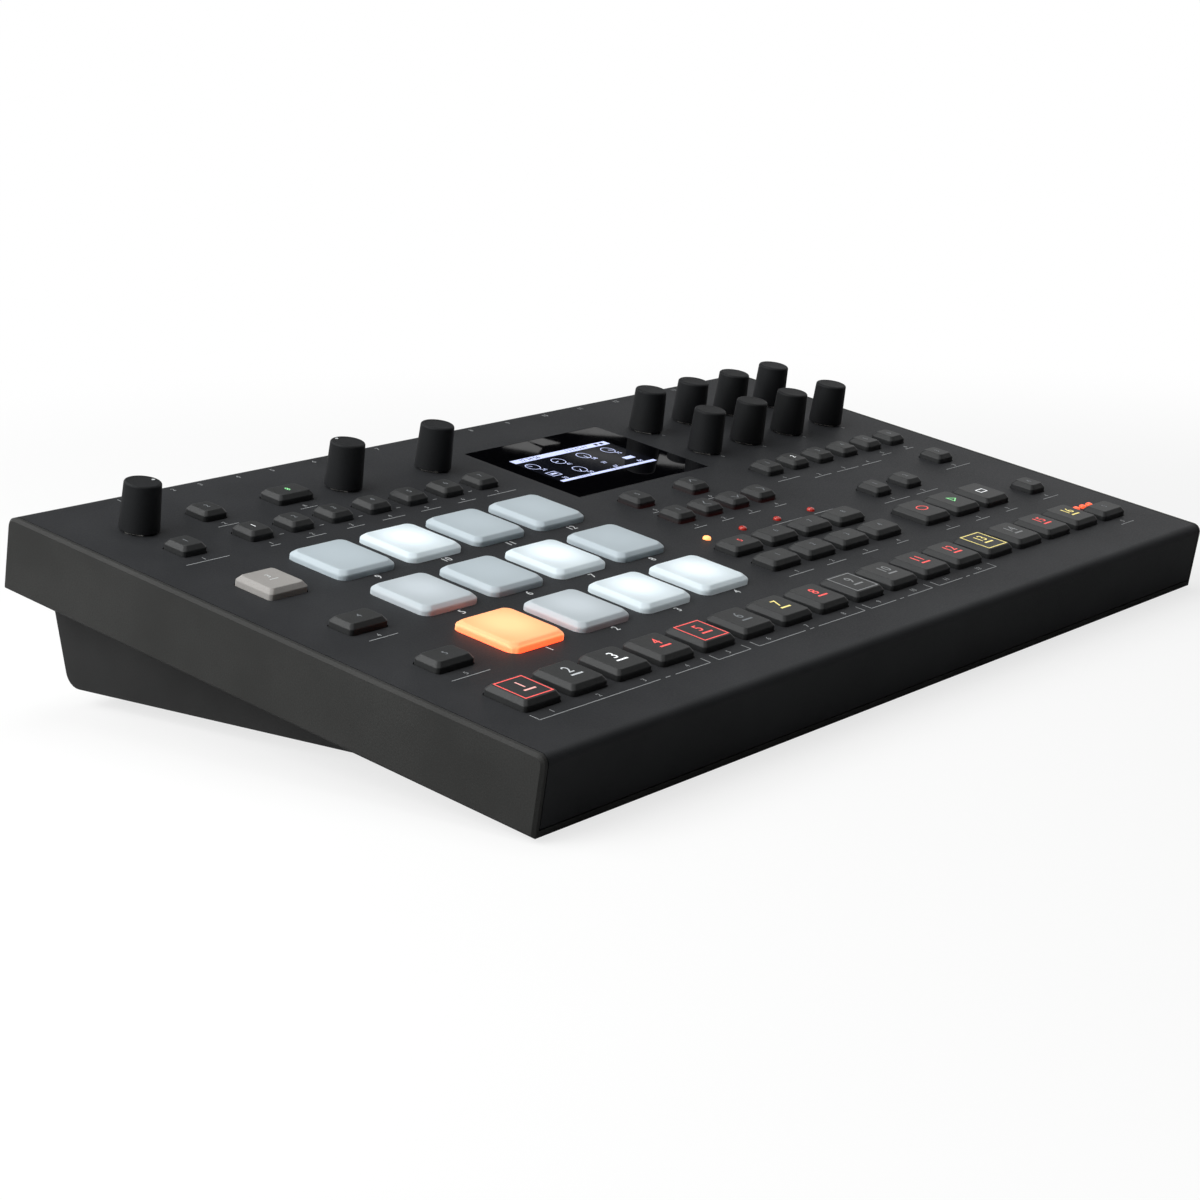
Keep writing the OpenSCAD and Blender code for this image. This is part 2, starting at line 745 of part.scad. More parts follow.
function pan_section(inset, rise) =
    let (
        r = pan_r - inset,
        z0 = foot_h + inset,
        cy = wall_y(z0 + r, inset) - r / cos(pan_lean)
    )
    concat(
        [[pan_thin[0] + inset / tan(tilt), z0]],
        [for (i = [0:arc_steps])
            let (a = -90 + (90 - pan_lean) * i / arc_steps)
                [cy + r * cos(a), z0 + r + r * sin(a)]],
        [[wall_y(pan_high[1], inset), pan_high[1] - inset * st]],
        rise > 0
            ? [[wall_y(pan_high[1], inset), pan_high[1] + rise],
               [pan_thin[0] + inset / tan(tilt), z0 + rise]]
            : []
    );

module pan_form(inset, rise) {
    half_top = body_w / 2 - pan_side_top - inset;
    half_foot = body_w / 2 - pan_side_foot - inset;
    slope = (half_top - half_foot) / (pan_high[1] - foot_h);
    z1 = pan_high[1] + 10;
    intersection() {
        translate([-body_w / 2, 0, 0])
            rotate([90, 0, 90])
                linear_extrude(body_w)
                    polygon(pan_section(inset, rise));
        translate([0, body_d, 0])
            rotate([90, 0, 0])
                linear_extrude(2 * body_d)
                    polygon([
                        [-half_foot, foot_h], [half_foot, foot_h],
                        [half_foot + slope * (z1 - foot_h), z1],
                        [-half_foot - slope * (z1 - foot_h), z1]
                    ]);
    }
}

// Where the sockets stand, in level coordinates. x runs from the middle to the right.
function level_x(u) = u - body_w / 2;
jacks = 8;
jack_list = [for (i = [0:jacks - 1]) level_x((jack_side + i * jack_pitch) * wide)];
din_list = [for (i = [0:2]) jack_list[jacks - 1] + (din_gap + i * din_pitch) * wide];
usb_x = din_list[2] + usb_gap * wide;
inlet_x = usb_x + inlet_gap * wide;
power_x = inlet_x + power_gap * wide;
socket_board_z = socket_z - 9.5;
wall_in_y = wall_y(socket_z - 10, pan_wall);
nose_end_y = wall_y(socket_z, 0) + 1;
nose_r = jack_bore_r + 1.4;
din_nose_r = din_bore_r + 1.8;
body_y = wall_in_y - 0.5;
socket_board_w = body_w - 2 * (pan_side_foot + pan_wall + 4);
socket_board_d = 50;
socket_post_list = [for (x = [-socket_board_w / 2 + 6, socket_board_w / 2 - 6])
    for (y = [body_y - 6, body_y - socket_board_d + 6]) [x, y]];

// A cylinder along y from y0 to y1 at the sockets' height.
module along_y(x, r, y0, y1) {
    translate([x, y0, socket_z])
        rotate([-90, 0, 0])
            cylinder(r = r, h = y1 - y0, $fn = 48);
}

module wedge_pan() {
    color("#26282a")
        difference() {
            union() {
                difference() {
                    pan_form(0, 0);
                    pan_form(pan_wall, 20);
                }
                intersection() {
                    pan_form(0, 0);
                    slab()
                        for (p = pan_post_list) {
                            at(p[0], p[1])
                                post(post_d, -slab_t - 60, -slab_t);
                        }
                }
                for (p = socket_post_list) {
                    translate([p[0], p[1], foot_h + pan_wall / 2])
                        cylinder(d = 6, h = socket_board_z - board_t - foot_h - pan_wall / 2, $fn = 48);
                }
            }
            slab()
                for (p = pan_post_list) {
                    at(p[0], p[1]) {
                        post(head_d + 1, -slab_t - 60, -slab_t - post_roof);
                        post(screw_d + 2 * screw_clear, -slab_t - 60, -slab_t + 1);
                    }
                }
            for (x = jack_list) {
                along_y(x, nose_r + pass_clear, body_y, nose_end_y + 5);
            }
            for (x = din_list) {
                along_y(x, din_nose_r + pass_clear, body_y, nose_end_y + 5);
            }
            along_y(inlet_x, nose_r + pass_clear, body_y, nose_end_y + 5);
            along_y(power_x, power_d / 2 + pass_clear, body_y, nose_end_y + 5);
            translate([usb_x - usb_w / 2 - pass_clear, body_y, socket_z - usb_h / 2 - pass_clear])
                cube([usb_w + 2 * pass_clear, 20, usb_h + 2 * pass_clear]);
        }
}

foot_x = body_w / 2 - pan_side_foot - foot_side;
foot_ys = [pan_thin[0] + foot_end, wall_y(foot_h, 0) - foot_end];

module rubber_feet() {
    edge = 1;
    color("#1c1c1c")
        for (x = [-foot_x, foot_x]) {
            for (y = foot_ys) {
                translate([x, y, 0])
                    rotate_extrude($fn = 64)
                        polygon([
                            [0, 0], [foot_d / 2 - edge, 0], [foot_d / 2, edge],
                            [foot_d / 2, foot_h], [0, foot_h]
                        ]);
            }
        }
}

// A button-head screw whose head's face lies at n = 0, with its shank up along n.
module screw(d, length) {
    head_r = head_d / 2;
    drive_depth = head_h * 0.65;
    difference() {
        union() {
            rotate_extrude($fn = 48)
                polygon([
                    [0, -head_h], [head_r * 0.64, -head_h], [head_r, -head_h * 0.4],
                    [head_r, 0], [0, 0]
                ]);
            post(d, 0, length);
        }
        translate([0, 0, -head_h - 1])
            cylinder(r = head_r * 0.42, h = drive_depth + 1, $fn = 6);
    }
}

module case_screws() {
    color("#3a3a3a")
        slab() {
            for (u = screw_us) {
                at(u, standoff_v, -slab_t)
                    screw(screw_d, floor_t + standoff_screw);
                at(u, body_d, rear_screw_n)
                    rotate([90, 0, 0])
                        screw(screw_d, panel_t + tab_t);
            }
            for (p = pan_post_list) {
                at(p[0], p[1], -slab_t - post_roof)
                    screw(screw_d, post_roof + floor_t + screw_reach);
            }
            for (p = stud_list) {
                at(p[0], p[1], board_under_n)
                    screw(screw_d - 0.5, board_t + 3);
            }
        }
}

module display_window() {
    color("#101214")
        slab()
            at(display_u, display_v, -panel_t)
                linear_extrude(panel_t)
                    rounded(window_w, window_d, 0.6);
}

module display_module() {
    w = window_w + 2 * bezel;
    d = window_d + 2 * bezel;
    color("#8a9096")
        slab()
            at(display_u, display_v)
                difference() {
                    at(-w / 2, -d / 2, board_n)
                        cube([w, d, board_drop]);
                    at(-screen_w / 2, -screen_d / 2, -panel_t - 0.8)
                        cube([screen_w, screen_d, 2]);
                    at(-w / 2 + bezel, -d / 2 + bezel, board_n - 1)
                        cube([w - 2 * bezel, bezel, 3]);
                }
}

module status_lights() {
    color("#d03020")
        slab()
            for (p = light_list) {
                at(p[0], p[1], board_n)
                    rotate_extrude($fn = 48)
                        polygon([
                            [0, 0], [p[2] / 2, 0], [p[2] / 2, -board_n + light_top / 3],
                            [p[2] * 0.36, -board_n + light_top * 0.8], [0, -board_n + light_top]
                        ]);
            }
}

module control_board() {
    color("#1f5c3a")
        slab()
            difference() {
                at(board_u0, board_v0, board_under_n)
                    cube([board_w, board_d, board_t]);
                for (p = stud_list) {
                    at(p[0], p[1])
                        post(screw_d - 0.5 + 2 * stem_clear, board_under_n - 1, board_n + 1);
                }
            }
}

// A housing on the control board, with the well that its stem runs in.
module well(place, size, d) {
    at(place[0], place[1])
        difference() {
            at(-size / 2, -size / 2, board_n)
                cube([size, size, switch_h]);
            post(d + 2 * stem_clear, board_n + 0.4, switch_n + 1);
        }
}

module key_switches() {
    color("#2b2b2b")
        slab() {
            for (k = key_list) {
                well(k, switch_size, stem_d);
            }
            for (p = pad_list) {
                well(p, plunger_d + 4, plunger_d);
            }
        }
}

// Encoders: body on the board, shoulder under the panel, bushing and nut above it.
module rotary_encoders() {
    shoulder = 1.2;
    color("silver")
        slab()
            for (p = knob_list) {
                at(p[0], p[1])
                    difference() {
                        union() {
                            at(-encoder_size / 2, -encoder_size / 2, board_n)
                                cube([encoder_size, encoder_size, board_drop - shoulder]);
                            post(bushing_d + 1.6, -panel_t - shoulder, -panel_t);
                            post(bushing_d, -panel_t, bushing_top);
                            cylinder(r = nut_r, h = nut_t, $fn = 6);
                        }
                        post(shaft_d + 2 * shaft_clear, shaft_foot_n - pass_clear, bushing_top + 1);
                    }
            }
}

module socket_board() {
    color("#1f5c3a")
        translate([-socket_board_w / 2, body_y - socket_board_d, socket_board_z - board_t])
            cube([socket_board_w, socket_board_d, board_t]);
}

// A socket's housing on the socket board, from the board to its roof.
module housing(x, w, length, roof) {
    translate([x - w / 2, body_y - length, socket_board_z])
        cube([w, length, roof - socket_board_z]);
}

// A round socket: a housing inside the pan, and a nose with the bore that ends outside its wall.
module round_socket(x, w, length, nose, bore_r, depth) {
    difference() {
        union() {
            housing(x, w, length, socket_z + w / 2);
            along_y(x, nose, body_y - 1, nose_end_y);
        }
        along_y(x, bore_r, nose_end_y - depth, nose_end_y + 1);
    }
}

module square_socket() {
    inner_w = usb_w - 2 * usb_wall;
    inner_h = usb_h - 2 * usb_wall;
    difference() {
        union() {
            housing(usb_x, usb_w, short_l, socket_z + usb_h / 2);
            translate([usb_x - usb_w / 2, body_y - 1, socket_z - usb_h / 2])
                cube([usb_w, nose_end_y - body_y + 1, usb_h]);
        }
        translate([usb_x - inner_w / 2, nose_end_y - short_depth, socket_z - inner_h / 2])
            cube([inner_w, short_depth + 1, inner_h]);
    }
}

// How deep the power button's stem well is, and the stem's radius.
power_well = short_l - 4;
power_stem_r = 2;

module rear_sockets() {
    color("#202224") {
        for (x = jack_list) {
            round_socket(x, jack_w, jack_l, nose_r, jack_bore_r, jack_depth);
        }
        for (x = din_list) {
            round_socket(x, din_w, short_l, din_nose_r, din_bore_r, short_depth);
        }
        square_socket();
        round_socket(inlet_x, inlet_w, short_l, nose_r, inlet_bore_r, short_depth);
        difference() {
            housing(power_x, jack_w, short_l, socket_z + jack_w / 2);
            along_y(power_x, power_stem_r + stem_clear, body_y - power_well, body_y + 1);
        }
    }
}

// The power button stands out of the pan's rear wall, on a stem in its switch.
module power_button() {
    button_y = body_y + power_travel + pass_clear;
    color("#141414") {
        along_y(power_x, power_d / 2, button_y, nose_end_y + power_travel);
        along_y(power_x, power_stem_r, button_y - power_well, button_y);
    }
}

module step_key(i) {
    color("#45484b")
        keys([step_list[i - 1]]);
}

module mode_keys() {
    color("#45484b")
        keys(mode_list);
}

module function_keys() {
    color("#55585a")
        keys(function_list);
}

module cursor_keys() {
    color("#45484b")
        keys(cursor_list);
}

module page_keys() {
    color("#45484b")
        keys(page_list);
}

module bank_keys() {
    color("#45484b")
        keys(bank_list);
}

module side_keys() {
    color("#45484b")
        keys(side_list);
}

module transport_keys() {
    color("#45484b")
        keys(transport_list);
}

top_panel();
base_tray();
wedge_pan();
rubber_feet();
case_screws();
display_window();
display_module();
status_lights();
control_board();
key_switches();
rotary_encoders();
socket_board();
rear_sockets();
power_button();
knob(volume_at);  // main_volume_knob
knob(level_at);  // level_knob
knob(data_at);  // data_knob
for (i = [1:encoders]) knob(encoder_list[i - 1]);
for (i = [1:pads]) pad(i);
for (i = [1:steps]) step_key(i);
mode_keys();
function_keys();
cursor_keys();
page_keys();
bank_keys();
side_keys();
transport_keys();
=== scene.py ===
# %% [markdown]
# # A table-top drum machine
# The CAD frame holds every solid of the machine at its real size. This lesson dresses it: soft
# moulded keys, lit silicone pads, knobs, printed marks, a display and the sockets at the rear.
# The frame is loaded first, because every new piece rides on one of its bodies.

# %% Load the frame
import json
import math

import bmesh
import bpy
from mathutils import Matrix, Vector


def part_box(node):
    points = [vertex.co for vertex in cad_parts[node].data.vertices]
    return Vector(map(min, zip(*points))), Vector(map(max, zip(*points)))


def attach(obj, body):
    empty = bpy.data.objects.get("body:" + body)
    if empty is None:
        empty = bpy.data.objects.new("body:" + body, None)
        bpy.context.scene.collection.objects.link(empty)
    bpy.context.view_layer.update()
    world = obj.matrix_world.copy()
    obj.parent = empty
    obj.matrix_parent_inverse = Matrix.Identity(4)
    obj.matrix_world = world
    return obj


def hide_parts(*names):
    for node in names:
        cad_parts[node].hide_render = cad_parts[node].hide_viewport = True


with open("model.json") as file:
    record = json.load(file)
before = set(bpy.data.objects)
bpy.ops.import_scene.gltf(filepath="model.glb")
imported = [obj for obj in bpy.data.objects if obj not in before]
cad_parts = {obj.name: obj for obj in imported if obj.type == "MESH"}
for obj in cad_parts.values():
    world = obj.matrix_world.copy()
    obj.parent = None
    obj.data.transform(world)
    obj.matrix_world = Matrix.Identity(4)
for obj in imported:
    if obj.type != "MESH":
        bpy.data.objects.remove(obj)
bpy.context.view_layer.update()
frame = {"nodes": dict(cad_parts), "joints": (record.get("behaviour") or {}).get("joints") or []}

# %% [markdown]
# ## The slab's own axes
# Everything on the panel is laid out flat: u to the right, v to the rear and n out of the panel,
# in millimetres from the front left corner. Modelling flat keeps every bevel and inset simple.
# One matrix, found from the volume knob's joint, then tilts a finished piece into the machine.

# %% The slab's place
TILT = math.radians(10.6)
LEFT_U, STEP_PITCH, STEP_V = 27.2, 20.7, 31.0
KNOB_ROW_V, JOINT_N = 188.2, 8.0

joint_at = {joint["name"]: Vector(joint["pos_m"]) for joint in frame["joints"] if "pos_m" in joint}
tilted = Matrix.Rotation(TILT, 4, "X")
volume_joint = Vector((LEFT_U, KNOB_ROW_V, JOINT_N)) * 0.001
slab_corner = joint_at["main_volume_turn"] - tilted @ volume_joint
slab = Matrix.Translation(slab_corner) @ tilted @ Matrix.Scale(0.001, 4)
print("slab corner in mm:", [round(1000 * side, 2) for side in slab_corner])

# %% [markdown]
# ## The photograph's camera
# A fit of the panel's corners gave the camera in the slab's axes: a long lens, low at the front
# left. Its right, down and forward directions are the rows of a turn. Blender's camera looks
# along its own -Z with +Y up, so down and forward change sign.

# %% Camera
CAMERA_PLACE = Vector((-512.3, -384.7, 271.0))
CAMERA_RIGHT = Vector((0.62213, -0.77112, 0.13534))
CAMERA_DOWN = Vector((-0.18048, -0.30947, -0.93362))
CAMERA_LOOK = Vector((0.76182, 0.55641, -0.33171))
SENSOR_W, LENS = 36, 79.37

bpy.ops.object.camera_add()
camera = bpy.context.object
camera.name = "photo_camera"
camera.data.sensor_width = SENSOR_W
camera.data.lens = LENS
axes = Matrix((CAMERA_RIGHT, -CAMERA_DOWN, -CAMERA_LOOK)).transposed().to_4x4()
camera.matrix_world = Matrix.Translation(slab @ CAMERA_PLACE) @ tilted @ axes
bpy.context.scene.camera = camera
print("camera in mm:", [round(1000 * side) for side in camera.matrix_world.translation])

# %% [markdown]
# ## Light, floor and background
# The photograph is a studio shot on white. Its left side is brighter than its panel and its front
# is dark, so one wide soft box stands at the left, a second one hangs over the middle, and a
# third one at the rear left brightens the sloping left edges of the keys.
# The white comes from the world and the floor as the camera sees them, not from more light.

# %% A helper that adds a node
def node(tree, kind, inputs=None, **settings):
    """Adds a node of a kind. Inputs are values or the sockets that feed them."""
    made = tree.nodes.new(kind)
    for name, value in settings.items():
        setattr(made, name, value)
    for name, value in (inputs or {}).items():
        if isinstance(value, bpy.types.NodeSocket):
            tree.links.new(value, made.inputs[name])
        else:
            made.inputs[name].default_value = value
    return made


def linear(code):
    """An sRGB hex colour as linear red, green, blue and alpha."""
    parts = [int(code[i:i + 2], 16) / 255 for i in (1, 3, 5)]
    return [p / 12.92 if p <= 0.04045 else ((p + 0.055) / 1.055) ** 2.4 for p in parts] + [1.0]


# %% World
world = bpy.data.worlds.new("studio")
bpy.context.scene.world = world
world.use_nodes = True
tree = world.node_tree
tree.nodes.clear()
path = node(tree, "ShaderNodeLightPath")
seen = path.outputs["Is Camera Ray"]
for ray in ("Is Glossy Ray", "Is Transmission Ray"):
    seen = node(tree, "ShaderNodeMath", {0: seen, 1: path.outputs[ray]},
                operation="MAXIMUM").outputs[0]
shade = node(tree, "ShaderNodeBackground", {"Color": linear("#f5f6f6"), "Strength": 0.3})
white = node(tree, "ShaderNodeBackground", {"Color": (1, 1, 1, 1), "Strength": 1.0})
mixed = node(tree, "ShaderNodeMixShader", {0: seen, 1: shade.outputs[0], 2: white.outputs[0]})
node(tree, "ShaderNodeOutputWorld", {"Surface": mixed.outputs[0]})
print("world:", world.name, "with", len(tree.nodes), "nodes")


# %% Soft boxes
def soft_box(name, place, aim, size, power):
    """A wide lamp at a place, turned to what it lights."""
    bpy.ops.object.light_add(type="AREA", location=place)
    box = bpy.context.object
    box.name = name
    box.rotation_euler = (Vector(aim) - Vector(place)).to_track_quat("-Z", "Y").to_euler()
    box.data.shape = "RECTANGLE"
    box.data.size, box.data.size_y = size
    box.data.energy = power
    box.data.color = linear("#fdfefe")[:3]


MIDDLE = (0, 0, 0.03)
soft_box("left_box", (-1.06, 0.24, 0.62), MIDDLE, (0.9, 0.75), 12.8)
soft_box("top_box", (0.0, 0.15, 1.45), MIDDLE, (1.0, 0.8), 7.0)
soft_box("rim_box", (-0.62, 0.72, 0.95), MIDDLE, (0.8, 0.6), 5.5)
print("soft boxes:", [lamp.name for lamp in bpy.data.lights])

# %% [markdown]
# Three black cards stand out of the camera's sight: behind the machine, before it and behind the
# camera. Photographers put them where a dark lacquer would mirror the white studio. The first
# keeps the panel and the glass dark, the others the front and the fronts of the controls.

# %% Black cards
velvet = bpy.data.materials.new("black_velvet_card")
velvet.use_nodes = True
velvet.node_tree.nodes.clear()
pile = node(velvet.node_tree, "ShaderNodeTexNoise", {"Scale": 300.0})
nap = node(velvet.node_tree, "ShaderNodeMix",
           {"Factor": pile.outputs[0], 6: linear("#0a0a0a"), 7: linear("#121212")},
           data_type="RGBA")
cloth = node(velvet.node_tree, "ShaderNodeBsdfDiffuse", {"Color": nap.outputs[2]})
node(velvet.node_tree, "ShaderNodeOutputMaterial", {"Surface": cloth.outputs[0]})


def black_card(name, place, size):
    """A black card at a place, turned to the machine."""
    bpy.ops.mesh.primitive_plane_add(size=1, location=place)
    card = bpy.context.object
    card.name = name
    card.scale = (size[0], size[1], 1)
    card.rotation_euler = (-Vector(place)).to_track_quat("Z", "Y").to_euler()
    card.data.materials.append(velvet)
    card.visible_camera = False
    print(name, "stands at", place)


black_card("rear_card", (0.66, 0.78, 0.886), (0.95, 1.0))
black_card("front_card", (0.45, -1.0, 0.45), (2.3, 1.2))
black_card("camera_card", (-1.02, -0.98, 0.42), (0.9, 0.9))

# %% [markdown]
# The glass of the display is a mirror, and in the photograph it shows a few pale patches of the
# studio. A small pale card gives each: its corners lie where the camera's rays go after the
# glass, so they are found from the patch's corners on the panel.

# %% Pale cards
pale_card = bpy.data.materials.new("pale_grey_card")
pale_card.use_nodes = True
pale_card.node_tree.nodes.clear()
pile = node(pale_card.node_tree, "ShaderNodeTexNoise", {"Scale": 30.0})
shade = node(pale_card.node_tree, "ShaderNodeMix",
             {"Factor": pile.outputs[0], 6: linear("#a6a6a6"), 7: linear("#c4c4c4")},
             data_type="RGBA")
sheen = node(pale_card.node_tree, "ShaderNodeEmission",
             {"Color": shade.outputs[2], "Strength": 1.0})
node(pale_card.node_tree, "ShaderNodeOutputMaterial", {"Surface": sheen.outputs[0]})


def mirrored(u, v, reach=1.0):
    """The place that the camera sees in the glass at a place on the panel."""
    spot = slab @ Vector((u, v, 0))
    look = (spot - camera.matrix_world.translation).normalized()
    up = (tilted @ Vector((0, 0, 1))).normalized()
    return spot + (look - 2 * look.dot(up) * up) * reach


PATCHES = [
    ((206, 194), (221, 195), (213, 182), (219, 185)),
    ((222, 187), (231, 186), (221, 194), (229, 195)),
    ((243, 195), (262, 196), (252, 187), (264, 178)),
    ((220, 177), (229, 163), (238, 176), (242, 163)),
    ((229, 163), (233, 156), (242, 163), (238, 157)),
    ((253, 144), (245, 152), (258, 149), (256, 159)),
]
for i, corners in enumerate(PATCHES, 1):
    bpy.ops.mesh.primitive_plane_add(size=1)
    card = bpy.context.object
    card.name = f"pale_card_{i}"
    for point, corner in zip(card.data.vertices, corners):
        point.co = mirrored(*corner)
    card.data.materials.append(pale_card)
    card.visible_camera = card.visible_diffuse = card.visible_shadow = False
print("pale cards:", len(PATCHES))

# %% Floor
FLOOR_SIZE, GLOW_FROM, GLOW_TO = 7, 0.28, 0.75
bpy.ops.mesh.primitive_plane_add(size=FLOOR_SIZE, location=(0, 0, 0))
floor = bpy.context.object
floor.name = "floor"
paper = bpy.data.materials.new("white_studio_paper")
paper.use_nodes = True
tree = paper.node_tree
tree.nodes.clear()
path = node(tree, "ShaderNodeLightPath")
grain = node(tree, "ShaderNodeTexNoise", {"Scale": 40.0, "Detail": 3.0})
tone = node(tree, "ShaderNodeMix",
            {"Factor": grain.outputs[0], 6: linear("#e9e9e8"), 7: linear("#efefee")},
            data_type="RGBA")
bounce = node(tree, "ShaderNodeMix",
              {"Factor": path.outputs["Is Camera Ray"], 6: linear("#a2a2a2"), 7: tone.outputs[2]},
              data_type="RGBA")
matt = node(tree, "ShaderNodeBsdfDiffuse", {"Color": bounce.outputs[2]})
glow = node(tree, "ShaderNodeEmission", {"Color": (1, 1, 1, 1), "Strength": 1.0})
place = node(tree, "ShaderNodeTexCoord").outputs["Object"]
far = node(tree, "ShaderNodeVectorMath", {0: place}, operation="LENGTH")
pale = node(tree, "ShaderNodeMapRange",
            {"Value": far.outputs["Value"], "From Min": GLOW_FROM, "From Max": GLOW_TO,
             "To Min": 0.75, "To Max": 1.0}, interpolation_type="SMOOTHSTEP")
share = node(tree, "ShaderNodeMath", {0: path.outputs["Is Camera Ray"], 1: pale.outputs[0]},
             operation="MULTIPLY")
mixed = node(tree, "ShaderNodeMixShader",
             {0: share.outputs[0], 1: matt.outputs[0], 2: glow.outputs[0]})
node(tree, "ShaderNodeOutputMaterial", {"Surface": mixed.outputs[0]})
floor.data.materials.append(paper)

bpy.context.scene.view_settings.view_transform = "Standard"
print("floor:", FLOOR_SIZE, "m wide, of", paper.name)


# %% [markdown]
# ## Powder-coated steel
# The case is folded steel sheet with a black powder coat. Powder melts into a skin that is never
# quite level: a fine leather-like grain of about a third of a millimetre, dull, with slightly
# shinier hills. Grit that fine would vanish in the render, so it is drawn half a millimetre wide.

# %% Start of every finish
def finish(name, colour, roughness, specular=0.5, metallic=0.0):
    """A new material with its whole-surface values on the shader's own sockets."""
    made = bpy.data.materials.new(name)
    made.use_nodes = True
    shader = made.node_tree.nodes["Principled BSDF"]
    shader.inputs["Base Color"].default_value = linear(colour)
    shader.inputs["Roughness"].default_value = roughness
    shader.inputs["Specular IOR Level"].default_value = specular
    shader.inputs["Metallic"].default_value = metallic
    place = node(made.node_tree, "ShaderNodeTexCoord").outputs["Object"]
    return made, made.node_tree, shader, place


def grained(name, low, high, size_mm, rough, specular, depth_mm, metallic=0.0):
    """A moulded or coated surface: a colour and a gloss that follow one fine grain."""
    made, tree, shader, place = finish(name, low, rough[0], specular, metallic)
    grit = node(tree, "ShaderNodeTexNoise",
                {"Vector": place, "Scale": 1000 / size_mm, "Detail": 2.0})
    cloud = node(tree, "ShaderNodeTexNoise", {"Vector": place, "Scale": 35.0, "Detail": 2.0})
    blend = node(tree, "ShaderNodeMath", {0: grit.outputs[0], 1: cloud.outputs[0]},
                 operation="MULTIPLY")
    tone = node(tree, "ShaderNodeMapRange",
                {"Value": blend.outputs[0], "From Min": 0.15, "From Max": 0.38})
    colour = node(tree, "ShaderNodeMix",
                  {"Factor": tone.outputs[0], 6: linear(low), 7: linear(high)}, data_type="RGBA")
    gloss = node(tree, "ShaderNodeMapRange",
                 {"Value": grit.outputs[0], "From Min": 0.3, "From Max": 0.7,
                  "To Min": rough[0], "To Max": rough[1]})
    bump = node(tree, "ShaderNodeBump",
                {"Height": grit.outputs[0], "Distance": depth_mm / 1000, "Strength": 0.5})
    tree.links.new(colour.outputs[2], shader.inputs["Base Color"])
    tree.links.new(gloss.outputs[0], shader.inputs["Roughness"])
    tree.links.new(bump.outputs[0], shader.inputs["Normal"])
    return made


COAT_GRAIN = (0.5, (0.52, 0.66), 0.15, 0.06)
# The three copies are one powder coat: the panel's is painted darker and the tray's and the pan's
# lighter, as painted shade and light.
powder_coat = grained("black_powder_coat_panel", "#202123", "#292a2c", *COAT_GRAIN)
tray_coat = grained("black_powder_coat_tray", "#292928", "#333332", *COAT_GRAIN)
pan_coat = grained("black_powder_coat_pan", "#282828", "#303030", 0.5, (0.5, 0.64), 0.15, 0.05)
print("coats:", powder_coat.name, tray_coat.name, pan_coat.name)

# %% [markdown]
# ## Plastics, rubber and metal
# Keys are moulded ABS with a spark-eroded grain. Knobs have a soft-touch lacquer over ABS, which
# is smoother and duller. Feet are rubber, and screws are black zinc. The parts inside get the
# finish of real boards, switches and plated steel, for views into the case.

# %% Finishes for moulded and plated parts
KEY_GRAIN = ("#1e1f20", "#282929", 0.35, (0.45, 0.56), 0.28, 0.03)
key_plastic = grained("charcoal_abs_key", *KEY_GRAIN)
pale_plastic = grained("grey_abs_key", "#918e8b", "#9c9996", 0.35, (0.5, 0.62), 0.2, 0.03)
knob_coat = grained("soft_touch_knob_lacquer", "#131415", "#191a1c", 0.3, (0.55, 0.68), 0.15, 0.02)
foot_rubber = grained("black_foot_rubber", "#141414", "#1c1c1c", 0.6, (0.7, 0.85), 0.3, 0.05)
screw_zinc = grained("black_zinc_screw", "#3b3c3e", "#48494b", 0.25, (0.3, 0.42), 0.5, 0.01,
                     metallic=1.0)
socket_abs = grained("black_socket_abs", "#17181a", "#1f2022", 0.4, (0.38, 0.5), 0.4, 0.02)
button_abs = grained("black_button_abs", "#141517", "#1c1d1f", 0.3, (0.35, 0.45), 0.4, 0.02)
switch_abs = grained("dark_switch_nylon", "#202123", "#2b2c2e", 0.3, (0.45, 0.6), 0.4, 0.02)
module_abs = grained("display_frame_abs", "#111214", "#191a1c", 0.3, (0.4, 0.55), 0.4, 0.02)
nickel = grained("nickel_plated_steel", "#b9b7b1", "#c9c7c2", 0.2, (0.22, 0.34), 0.5, 0.01,
                 metallic=1.0)
print("materials so far:", len(bpy.data.materials))

# %% [markdown]
# ## Circuit board
# Solder mask is a green lacquer over copper tracks. The tracks show as slightly lighter lines, so
# two wave patterns at right angles, 1.2 mm apart, stand for them.

# %% Solder mask
solder_mask, tree, shader, place = finish("green_solder_mask", "#123d26", 0.35, 0.5)
across, along = (node(tree, "ShaderNodeTexWave",
                      {"Vector": place, "Scale": 130.0, "Distortion": 1.5}, bands_direction=axis)
                 for axis in "XY")
tracks = node(tree, "ShaderNodeMath", {0: across.outputs[1], 1: along.outputs[1]},
              operation="MAXIMUM")
mask = node(tree, "ShaderNodeMapRange",
            {"Value": tracks.outputs[0], "From Min": 0.8, "From Max": 0.9})
green = node(tree, "ShaderNodeMix",
             {"Factor": mask.outputs[0], 6: linear("#103821"), 7: linear("#1d5a37")},
             data_type="RGBA")
tree.links.new(green.outputs[2], shader.inputs["Base Color"])

CAD_FINISHES = {
    "top_panel": powder_coat, "base_tray": tray_coat, "wedge_pan": pan_coat,
    "rubber_feet": foot_rubber, "case_screws": screw_zinc, "display_module": module_abs,
    "control_board": solder_mask, "socket_board": solder_mask, "key_switches": switch_abs,
    "rotary_encoders": nickel, "rear_sockets": socket_abs,
}
for name, material in CAD_FINISHES.items():
    slots = frame["nodes"][name].data.materials
    slots.clear()
    slots.append(material)
print("CAD nodes with a finish:", len(CAD_FINISHES))


# %% [markdown]
# ## Working as by hand
# Each new piece starts as a primitive of its size, and edit-mode operators shape it. Faces and
# edges are selected by where they are and which way they face, as a hand would click them.
# A finished piece is smoothed by angle, and its normals are weighted by the faces' areas, so that
# bevels look round and the flats beside them mirror like flats.

# %% Helpers for edit mode
SMOOTH_ANGLE = math.radians(38)


